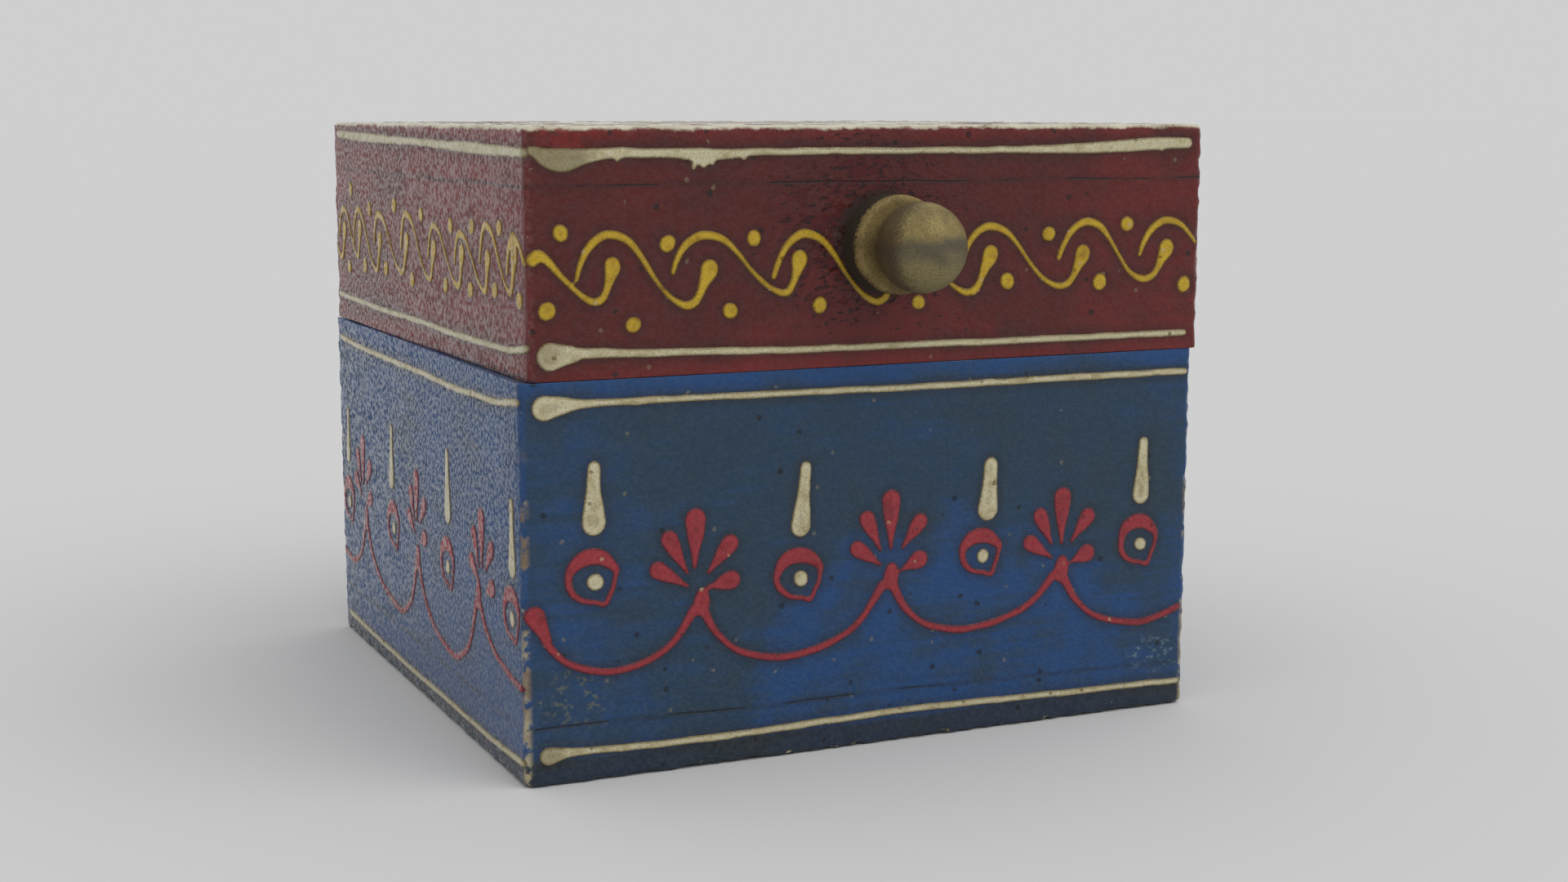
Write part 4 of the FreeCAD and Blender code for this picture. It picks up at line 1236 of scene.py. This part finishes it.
# %% The piping of every face
skins = {body: surface_of([b for b in boards if b["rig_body"] == body]) for body in ("base", "lid")}
piping = []
for ((body, side), colour), lines in strokes.items():
    piece = corded(f"{body}_{side}_{colour}_piping", lines)
    run_together(piece)
    out = Vector(outlook[side][2])
    face_at = max(np.dot(corner, out) for corner in carcass[body])
    height = top_paint_height if side == "top" else paint_height
    pressed(piece, outlook[side], skins[body], height, face_at - 1.0)
    dress(piece, stroke_paints[colour], body, f"{colour}_paint")
    piping.append(piece)
print("piping:", {p.name: len(p.data.polygons) for p in piping})

# %% [markdown]
# ## Dark halos
# Beside a raised stroke the old paint is darker. Each board's point learns how near the next stroke
# is, and the old paint darkens there.

# %% Dark halos round the strokes
halo_reach = 1.2 * mm
stroke_points = [v.co for p in piping for v in p.data.vertices]
near_stroke = KDTree(len(stroke_points))
for i, point in enumerate(stroke_points):
    near_stroke.insert(point, i)
near_stroke.balance()
for board in boards:
    shade = [max(0.0, 1 - near_stroke.find(v.co)[2] / halo_reach) for v in board.data.vertices]
    board.data.attributes.new("halo", "FLOAT", "POINT").data.foreach_set("value", shade)
print("halo points:", len(stroke_points))

# %% [markdown]
# ## Brass: knob, hinges and latch
# The knob is a turned ball on a thick round rose. The ball's colour carries a painted reflection: pale on
# its upper half, a dark band just below the middle and lighter again towards the bottom. Its rear and left
# are painted a brown that is shade mixed with tarnish, and the rose's side is painted almost black the same
# way. The finish is a metal whose tarnish follows clouds, and the rose is spun again so that it beds into
# the board.

# %% Aged brass
def aged_brass(name, dark_from=None, dark_to=None, handling_and_reflection=False, matte=False):
    """Brass with tarnish; between the two depths along y it darkens to brown, painted shade mixed with
    tarnish.
    A knob's ball gets a painted reflection: pale above, a dark band below the middle, lighter towards the
    bottom; a matte rose is grainy all over."""
    f = Finish(name)
    at = f.place()
    x, y, z = f.axes(at)
    cloud = f.noise(at, 4.0, 4, 0.6)
    fine = f.noise(at, 0.28, 3, 0.6)
    pale, deep = ((138, 118, 68), (116, 97, 54)) if matte else ((147, 131, 79), (121, 105, 63))
    tone = f.mix(f.step(cloud, 0.36, 0.62), srgb(*pale), srgb(*deep))
    if handling_and_reflection:
        # painted reflection on the ball: its lower half dull grey, darkest in a band just below the middle
        # and lighter towards the bottom, as if reflecting horizon and floor
        painted_lower_half = 1 - f.step(z + (cloud - 0.5) * 5 + (fine - 0.5), knob_z + 0.2, knob_z + 1.8)
        painted_dark_band = f.step(z + (f.noise(at, 7, 2) - 0.5) * 9, knob_z - 3.5, knob_z + 0.3)
        tone = f.mix(painted_lower_half, tone, f.mix(painted_dark_band, srgb(141, 129, 88), srgb(95, 88, 71)))
    tone = f.mix(f.step(fine, 0.45, 0.66) * (0.6 if matte else 0.45), tone, srgb(78, 63, 36))
    tarnish_and_shade = f.step(cloud * 0.5 + fine * 0.5, 0.54, 0.68) * 0.4
    # painted shade mixed with tarnish: brown on the ball's rear and left, near black on the rose's side
    if dark_from is not None:
        back = y - (x - knob_x) * (0.35 if handling_and_reflection else 0.0) + (cloud - 0.5) * 2 + (fine - 0.5) * 4
        tarnish_and_shade = tarnish_and_shade.most(f.step(back, dark_from, dark_to) * (0.8 if handling_and_reflection else 0.95))
    tone = f.mix(tarnish_and_shade, tone, srgb(64, 48, 25) if handling_and_reflection else srgb(36, 25, 12))
    shine = 0.1 if matte else 0.42
    f.set(base_color=tone, metallic=shine - shine * 0.7 * tarnish_and_shade,
          roughness=(0.66 if matte else 0.48) + 0.16 * fine + 0.15 * tarnish_and_shade)
    f.bump(fine + cloud * 1.5, 0.08)
    return f


print("knob darkens towards its rose")

# %% The turned rose
def turned(name, profile, steps=72, closed=True):
    """An outline of (radius, height) in millimetres, spun round the Z axis; a closed one makes a solid."""
    mesh = bpy.data.meshes.new(name)
    count = len(profile)
    edges = [(i, (i + 1) % count) for i in range(count if closed else count - 1)]
    mesh.from_pydata([(r * mm, 0, h * mm) for r, h in profile], edges, [])
    piece = bpy.data.objects.new(name, mesh)
    bpy.context.scene.collection.objects.link(piece)
    pick(piece)
    bpy.ops.object.mode_set(mode="EDIT")
    bpy.ops.mesh.select_all(action="SELECT")
    bpy.ops.mesh.spin(steps=steps, angle=2 * math.pi, center=(0, 0, 0), axis=(0, 0, 1))
    bpy.ops.mesh.select_all(action="SELECT")
    bpy.ops.mesh.remove_doubles(threshold=1e-6)
    bpy.ops.mesh.normals_make_consistent(inside=False)
    bpy.ops.object.mode_set(mode="OBJECT")
    return piece


rose_seat, rose_bore = 50.0, 3.25
rose_low, rose_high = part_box("knob_rose")
rose_r = (rose_high.x - rose_low.x) / 2 / mm
rose_t = -rose_low.y / mm - rose_seat
rose = turned("knob_rose_worn", ((rose_bore, 0), (rose_r, 0), (rose_r, rose_t - 0.7),
                                 (rose_r - 0.18, rose_t - 0.28), (rose_r - 0.6, rose_t), (4.6, rose_t),
                                 (rose_bore, rose_t - 0.15)))
rose.rotation_euler = (math.pi / 2, 0, 0)
rose.location = (knob_x * mm, -rose_seat * mm, knob_z * mm)
apply_place(rose)
add_modifier(rose, "SUBSURF", subdivision_type="SIMPLE", levels=2, render_levels=2)
rippled(rose, clouds("dents", 2.4), -0.2, 0.4)
smooth(rose)
# the rose's side is painted near black, shade mixed with tarnish
dress(rose, aged_brass("rose_brass", -54.1, -53.7, matte=True), "lid", "aged_brass", "knob_rose")
print("rose:", round(rose_r, 2), "by", round(rose_t, 2), "mm")

# %% Brass fittings
brass = aged_brass("old_brass")


def finish_nodes(finish, *names):
    for name in names:
        nodes[name].data.materials.clear()
        nodes[name].data.materials.append(finish.material)


# the knob's ball gets painted reflection bands and a painted shaded rear and left
finish_nodes(aged_brass("knob_brass", -62.6, -59.9, handling_and_reflection=True), "knob_ball")
finish_nodes(brass, *[n for n in nodes if n.startswith("hinge_")], "keeper_pin", "tongue_washer",
             "latch_tongue", "spindle_nut", "cap_bells")
finish_nodes(aged_brass("screw_brass", matte=True), "hinge_base_screws", "hinge_lid_screws")
print("brass nodes:", sum(o.data.materials[0].name.endswith("brass") for o in nodes.values()))

# %% [markdown]
# ## Steel and bare wood
# Brads, staples and screws are plain drawn steel with a little rust. The two discs that hold the spring
# are turned from pale softwood, so their finish has growth rings seen from the end of the grain.

# %% Steel and turned wood
def dull_steel(name):
    f = Finish(name)
    at = f.place()
    cloud = f.noise(at, 1.6, 4, 0.6)
    rust = f.step(cloud, 0.52, 0.68)
    f.set(base_color=f.mix(rust, srgb(150, 150, 148), srgb(96, 58, 34)), metallic=1 - rust * 0.8,
          roughness=0.34 + 0.4 * rust)
    f.bump(cloud, 0.03)
    return f


def turned_wood(name):
    f = Finish(name)
    at = f.place()
    x, y, z = f.axes(at)
    bent = f.noise(at, 26, 2)
    warped = f.node("ShaderNodeCombineXYZ", None, {0: x * 0.05 + bent * 2, 1: y * 0.9 + bent * 7, 2: z * 0.9})
    rings = f.noise(warped, 1.6, 4)
    pores = f.noise(at, (6, 0.35, 0.35), 2)
    tone = f.mix(f.step(rings, 0.35, 0.66), srgb(206, 170, 118), srgb(164, 122, 74))
    tone = f.mix(f.step(pores, 0.58, 0.7) * 0.5, tone, srgb(112, 78, 46))
    f.set(base_color=tone, roughness=0.55 + 0.2 * rings)
    f.bump(pores + rings, 0.06)
    return f


steel = dull_steel("drawn_steel")
finish_nodes(steel, "base_brads", "lid_brads", "disc_screws", "lower_staples", "upper_staples", "neck_screw")
finish_nodes(turned_wood("turned_softwood"), "spring_base_disc", "spring_top_disc")
print("steel and wood done")

# %% [markdown]
# ## Spring and sleeve
# Spring and sleeve stretch with the jack, from a hand's breadth down to a thumb's. They are modelled with
# the jack up, where they are seen, and then let down: every point goes to the height from which the joint
# lifts it back. The joint lifts a point by a smooth share of the rise, so letting down is the same share
# undone.

# %% Letting a stretched piece down
rise = max(j["range_m"][1] for j in frame["joints"] if j["name"] == "jack_rise") / mm
disc_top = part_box("spring_base_disc")[1].z / mm
disc_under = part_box("spring_top_disc")[0].z / mm


def lifted(z):
    t = np.clip((z - disc_top) / (disc_under - disc_top), 0, 1)
    return z + rise * t * t * (3 - 2 * t)


def let_down(piece):
    points = np.array([v.co for v in piece.data.vertices])
    down = np.linspace(0, 80, 8001)
    points[:, 2] = np.interp(points[:, 2], lifted(down) * mm, down * mm)
    piece.data.vertices.foreach_set("co", points.astype(np.float32).ravel())
    piece.data.update()


def dress_stretching(piece, finish, stands_for):
    """Gives a piece its finish, moves its place into its mesh and hides the node that it stands for."""
    piece.data.materials.append(finish.material)
    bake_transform(piece)
    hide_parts(stands_for)


print("the jack rises", round(rise, 1), "mm")

# %% The coil spring
coil_r, wire_r, turns, turn_steps = 14.5, 0.6, 7, 48
flat_share = 0.2        # of a turn lies on each disc, under the staples
rest_step = (disc_under - disc_top - 2 * wire_r) / turns
first, last = disc_top + wire_r, disc_under - wire_r
foot, head = lifted(first + rest_step * flat_share), lifted(last - rest_step * flat_share)
coil_line = []
for i in range(turns * turn_steps + 1):
    turn_at = i / turn_steps
    if turn_at < flat_share:
        height = lifted(first + rest_step * turn_at)
    elif turn_at > turns - flat_share:
        height = lifted(last - rest_step * (turns - turn_at))
    else:
        height = foot + (head - foot) * (turn_at - flat_share) / (turns - 2 * flat_share)
    angle = 2 * math.pi * turn_at
    coil_line.append((coil_r * math.cos(angle), coil_r * math.sin(angle), height, wire_r))
coil = bent_cord("coil_spring_wire", [(coil_line, False)], 3)
let_down(coil)
smooth(coil, 60)
dress_stretching(coil, steel, "coil_spring")
print("coil:", len(coil.data.polygons), "faces over", turns, "turns")

# %% [markdown]
# ## The sleeve
# The sleeve is a tube of striped cotton, gathered by threads into pleats, so that it can fold up flat in
# the box. Its outline is spun round the spring, softened with small waves, and given the thickness of
# cloth.

# %% The pleated sleeve
pleats, pleat_steps = 9, 12
sleeve_in, sleeve_out, cloth_t = 20.0, 28.4, 0.4
hem_low, hem_high = 24.4, 18.9
sleeve_foot, sleeve_top = lifted(disc_top + 0.4), lifted(disc_under - 0.4)
outline = [(hem_low, h) for h in (7.6, 8.8, disc_top + 0.1)]
last_step = pleats * pleat_steps
for i in range(last_step + 1):
    share = i / last_step
    fold = abs(math.sin(math.pi * share * pleats)) ** 0.85
    inner = sleeve_in + (0 if 0 < i < last_step else 0.3)
    outline.append((inner + (sleeve_out - inner) * fold, sleeve_foot + (sleeve_top - sleeve_foot) * share))
outline += [(hem_high, lifted(disc_under + h)) for h in (0.1, 1.2, 2.4)]
sleeve = turned("cloth_sleeve_pleated", outline, 96, closed=False)
runs = np.concatenate(([0], np.cumsum([math.dist(a, b) for a, b in zip(outline, outline[1:])])))
heights = np.array([h for r, h in outline])
along = []
for v in sleeve.data.vertices:
    angle = math.atan2(v.co.y, v.co.x)
    r, h = math.hypot(v.co.x, v.co.y) / mm, v.co.z / mm
    along.append(float(np.interp(h, heights, runs)))
    free = min(1.0, max(0.0, (h - disc_top) / 6), max(0.0, (sleeve_top - h) / 6))
    grow = free * (0.45 * math.sin(7 * angle + h * 0.21) + 0.35 * math.sin(13 * angle - h * 0.33))
    lift = free * (0.8 * math.sin(3 * angle + 1.3) + 0.5 * math.sin(5 * angle + h * 0.1))
    share = (r + grow * (r - sleeve_in + 1) / 6) / r
    v.co.x, v.co.y, v.co.z = v.co.x * share, v.co.y * share, (h + lift) * mm
sleeve.data.attributes.new("run", "FLOAT", "POINT").data.foreach_set("value", along)
add_modifier(sleeve, "SOLIDIFY", thickness=cloth_t * mm, offset=-1, use_even_offset=True)
let_down(sleeve)
smooth(sleeve, 70)
print("sleeve:", len(sleeve.data.polygons), "faces,", pleats, "pleats")

# %% Striped cotton
def woven(f, at, size, run):
    """Threads over and under, along the cloth's run and round it."""
    x, y, z = f.axes(at)
    angle = f.node("ShaderNodeMath", {"operation": "ARCTAN2"}, {0: y, 1: x})
    warp = f.node("ShaderNodeMath", {"operation": "SINE"}, {0: angle * (26 * 2 / size)})
    weft = f.node("ShaderNodeMath", {"operation": "SINE"}, {0: run * (2 * math.pi / (2 * size))})
    return angle, warp * weft * 0.5 + 0.5


def striped_cotton(name, first, second, stripes):
    f = Finish(name)
    at = f.place()
    angle, weave = woven(f, at, 0.5, f.attribute("run"))
    band = f.node("ShaderNodeMath", {"operation": "SINE"}, {0: angle * stripes})
    cloud = f.noise(at, 9, 3)
    tone = f.mix(f.step(band, -0.12, 0.12), first, second)
    tone = f.mix(f.step(cloud, 0.45, 0.75) * 0.35, tone, srgb(96, 82, 62))
    tone = f.shaded(tone, 0.78 + 0.3 * weave)
    f.set(base_color=tone, roughness=0.86 + 0.08 * cloud, sheen_weight=0.25)
    f.bump(weave, 0.12)
    return f


cotton = striped_cotton("striped_cotton", srgb(150, 44, 46), srgb(196, 182, 142), 14)
dress_stretching(sleeve, cotton, "cloth_sleeve")
print("sleeve: flat", round(2 * math.pi * sleeve_out), "by", round(float(runs[-1])), "mm")

# %% [markdown]
# ## The jack's ruff
# A ruff is a strip of linen gathered on one edge, so the other edge has to run in waves. A flat ring is
# cut into narrow rings with extrude and scale, then each point rises and falls with its angle, more
# towards the rim.

# %% The gathered ruff
ruff_low, ruff_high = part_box("neck_ruff")
ruff_in, ruff_out = 8.7, ruff_high.x / mm - 0.2
ruff_mid = (ruff_low.z + ruff_high.z) / 2 / mm
waves, ruff_rings, linen_t = 18, 14, 0.35
bpy.ops.mesh.primitive_circle_add(vertices=waves * 20, radius=ruff_in * mm, location=(0, 0, ruff_mid * mm))
ruff = bpy.context.object
ruff.name = "neck_ruff_gathered"
apply_place(ruff)
bpy.ops.object.mode_set(mode="EDIT")
bpy.ops.mesh.select_all(action="SELECT")
for i in range(ruff_rings):
    now, then = (ruff_in + (ruff_out - ruff_in) * k / ruff_rings for k in (i, i + 1))
    bpy.ops.mesh.extrude_edges_move(TRANSFORM_OT_translate={"value": (0, 0, 0)})
    bpy.ops.transform.resize(value=(then / now, then / now, 1), center_override=(0, 0, ruff_mid * mm))
bpy.ops.mesh.select_all(action="SELECT")
bpy.ops.mesh.normals_make_consistent(inside=False)
bpy.ops.object.mode_set(mode="OBJECT")
for v in ruff.data.vertices:
    angle, r = math.atan2(v.co.y, v.co.x), math.hypot(v.co.x, v.co.y) / mm
    share = max(0.0, (r - ruff_in) / (ruff_out - ruff_in))
    wave = math.sin(waves * angle + 0.5 * math.sin(3 * angle))
    v.co.z += (1.75 * share ** 0.8 * wave * (1 + 0.15 * math.sin(5 * angle + 1)) + 0.9 * share
               * (1 - share)) * mm
    shift = 0.018 * share * math.sin(2 * waves * angle)
    v.co.x, v.co.y = r * mm * math.cos(angle + shift), r * mm * math.sin(angle + shift)
ruff.data.attributes.new("run", "FLOAT", "POINT").data.foreach_set(
    "value", [math.hypot(v.co.x, v.co.y) / mm for v in ruff.data.vertices])
add_modifier(ruff, "SOLIDIFY", thickness=linen_t * mm, offset=0)
smooth(ruff, 70)

# %% Linen
def linen(name, pale, edge, edge_from):
    f = Finish(name)
    at = f.place()
    run = f.attribute("run")
    angle, weave = woven(f, at, 0.45, run)
    cloud = f.noise(at, 6, 3)
    tone = f.mix(f.step(cloud, 0.4, 0.7) * 0.5, pale, srgb(170, 152, 112))
    tone = f.mix(f.step(run, edge_from, edge_from + 0.15), tone, edge)
    f.set(base_color=f.shaded(tone, 0.8 + 0.26 * weave), roughness=0.85 + 0.1 * cloud, sheen_weight=0.2)
    f.bump(weave, 0.1)
    return f


ruff_linen = linen("ruff_linen", srgb(214, 204, 176), srgb(40, 66, 118), ruff_out - 1.6)
dress(ruff, ruff_linen, "jack", "ruff_cloth", "neck_ruff")

# %% [markdown]
# ## The jack's cap
# A felt cap with two stuffed horns: a ball cut off at the brow and two tapering tubes, joined by a voxel
# remesh as felt is sewn and stuffed into one soft form, then smoothed. A rolled band hides the cut edge.

# %% Cap, horns and band
head_low, head_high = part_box("jack_head")
head_r = (head_high.x - head_low.x) / 2 / mm
head_z = head_high.z / mm - head_r
cap_r, brow, band_r = head_r + 1.7, 6.0, 1.5
horn_marks = ((4.0, 8.0, 8.6), (7.4, 11.5, 8.2), (12.0, 15.4, 7.1), (16.3, 16.9, 6.2), (20.6, 16.6, 5.2),
              (24.3, 14.6, 4.2), (27.2, 10.8, 3.2), (29.4, 6.4, 2.3))
bpy.ops.mesh.primitive_uv_sphere_add(segments=64, ring_count=40, radius=cap_r * mm,
                                     location=(0, 0, head_z * mm))
cap = bpy.context.object
cap.name = "felt_cap_sewn"
apply_place(cap)
bpy.ops.object.mode_set(mode="EDIT")
bpy.ops.mesh.select_all(action="SELECT")
bpy.ops.mesh.bisect(plane_co=(0, 0, (head_z + brow) * mm), plane_no=(0, 0, -1), use_fill=True,
                    clear_outer=True)
bpy.ops.object.mode_set(mode="OBJECT")
for side in (-1, 1):
    horn = corded("horn", [(smooth_line([(side * x, head_z + z, r) for x, z, r in horn_marks]), False)])
    horn.select_set(True)
    cap.select_set(True)
    bpy.context.view_layer.objects.active = cap
    bpy.ops.object.join()
add_modifier(cap, "REMESH", mode="VOXEL", voxel_size=0.7 * mm)
add_modifier(cap, "SMOOTH", factor=0.5, iterations=8)
rippled(cap, clouds("felt_lumps", 7), 0.5)
smooth(cap, 80)
bpy.ops.mesh.primitive_torus_add(major_radius=math.sqrt(cap_r**2 - brow**2) * mm, minor_radius=band_r * mm,
                                 major_segments=96, minor_segments=16, location=(0, 0, (head_z + brow) * mm))
band = bpy.context.object
band.name = "cap_band"
apply_place(band)
rippled(band, clouds("band_lumps", 4), 0.4)
smooth(band, 80)
print("cap:", len(cap.data.polygons), "faces, band:", len(band.data.polygons))

# %% Felt
def felt(name, left, right):
    """Wool felt in two colours that meet at the middle seam."""
    f = Finish(name)
    at = f.place()
    x, y, z = f.axes(at)
    fibre = f.noise(at, (0.25, 1.3, 0.25), 4, 0.7)
    other = f.noise(at, (1.3, 0.25, 0.4), 4, 0.7)
    cloud = f.noise(at, 5, 3)
    tone = f.mix(f.step(x, -0.15, 0.15), left, right)
    tone = f.mix((1 - f.step(abs(x), 0.15, 0.5)) * 0.7, tone, srgb(40, 30, 30))
    tone = f.shaded(tone, 0.68 + 0.34 * fibre + 0.3 * other)
    tone = f.mix(f.step(cloud, 0.5, 0.75) * 0.25, tone, srgb(120, 100, 84))
    f.set(base_color=tone, roughness=0.92 + 0.06 * cloud, sheen_weight=0.5, sheen_roughness=0.5)
    f.bump(fibre + other, 0.2)
    return f


dress(cap, felt("cap_felt", srgb(148, 34, 38), srgb(34, 66, 122)), "jack", "cap_felt", "felt_cap")
dress(band, felt("band_felt", srgb(196, 158, 52), srgb(196, 158, 52)), "jack", "cap_felt")
print("felt: cap and band")

# %% [markdown]
# ## The jack's face
# A plain doll's face on a wooden ball: the flesh paint carries round cheeks, and eyes, brows and mouth
# are the same piped strokes as on the box, pressed onto the head.

# %% Flesh paint and nose
def flesh(name, pale, deep, cheeks=False):
    f = Finish(name)
    at = f.place()
    x, y, z = f.axes(at)
    cloud = f.noise(at, 6, 4, 0.6)
    fine = f.noise(at, 0.5, 2)
    tone = f.mix(f.step(cloud, 0.4, 0.7) * 0.6, pale, deep)
    if cheeks:
        for side in (-1, 1):
            away = f.away(x - side * 9.2, z - head_z + 4.5) + cloud * 1.5
            blush = (1 - f.step(away, 2.2, 5.4)) * (1 - f.step(y, -6, -4))
            tone = f.mix(blush * 0.75, tone, srgb(206, 84, 76))
    crack = f.step(f.noise(at, (2.5, 2.5, 0.5), 3), 0.66, 0.7)
    tone = f.mix(crack * 0.4, tone, srgb(110, 76, 54))
    f.set(base_color=f.shaded(tone, 0.9 + 0.2 * fine), roughness=0.38 + 0.2 * cloud,
          coat_weight=0.2 + 0.2 * cloud)
    f.bump(fine * 0.6 + cloud - crack * 0.6, 0.06)
    return f


finish_nodes(flesh("flesh_paint", srgb(222, 176, 138), srgb(204, 152, 114), cheeks=True), "jack_head")
finish_nodes(flesh("nose_red", srgb(188, 46, 43), srgb(160, 36, 38)), "nose_bead")
print("head radius", round(head_r, 1), "mm")

# %% Eyes, brows and mouth
head_skin = surface_of([nodes["jack_head"]])
eyes = [(side * 6.2, head_z + 0.4) for side in (-1, 1)]
mouth = (0, head_z - 7.6)
eye_white = ((-0.9, 0, 2.0), (0.9, 0, 2.0))
iris = ((-0.15, -0.1, 1.25), (0.15, -0.1, 1.25))
pupil = ((-0.08, -0.1, 0.62), (0.08, -0.1, 0.62))
lash = ((-2.7, 0.5, 0.2), (-1.6, 1.8, 0.34), (0, 2.2, 0.4), (1.6, 1.8, 0.34), (2.7, 0.5, 0.2))
eyebrow = ((-2.6, 2.6, 0.26), (-0.8, 3.3, 0.4), (1.0, 3.35, 0.4), (2.8, 2.7, 0.26))
lips = ((-5.4, 1.5, 0.35), (-3.4, -0.1, 0.75), (0, -0.9, 1.05), (3.4, -0.1, 0.75), (5.4, 1.5, 0.35))
features = {"white": ([(eye, eye_white) for eye in eyes], 0.28),
            "iris": ([(eye, iris) for eye in eyes], 0.40),
            "dark": ([(eye, marks) for eye in eyes for marks in (pupil, lash, eyebrow)], 0.50),
            "lips": ([(mouth, lips)], 0.35)}
face_paints = {"white": piped_paint("eye_white", srgb(226, 220, 204), srgb(210, 202, 182),
                                    srgb(150, 120, 96)),
               "iris": piped_paint("eye_blue", srgb(48, 88, 140), srgb(40, 74, 124), srgb(24, 40, 70)),
               "dark": piped_paint("brow_brown", srgb(52, 34, 26), srgb(44, 28, 22), srgb(28, 18, 14)),
               "lips": piped_paint("lip_red", srgb(170, 42, 46), srgb(150, 36, 42), srgb(92, 26, 30))}
for colour, (parts, height) in features.items():
    lines = [(rounded_ends(smooth_line([(u + du, v + dv, half) for du, dv, half in marks])), False)
             for (u, v), marks in parts]
    piece = corded(f"face_{colour}", lines)
    pressed(piece, outlook["front"], head_skin, height)
    dress(piece, face_paints[colour], "jack", "face_paint")
print("face pieces:", list(features))
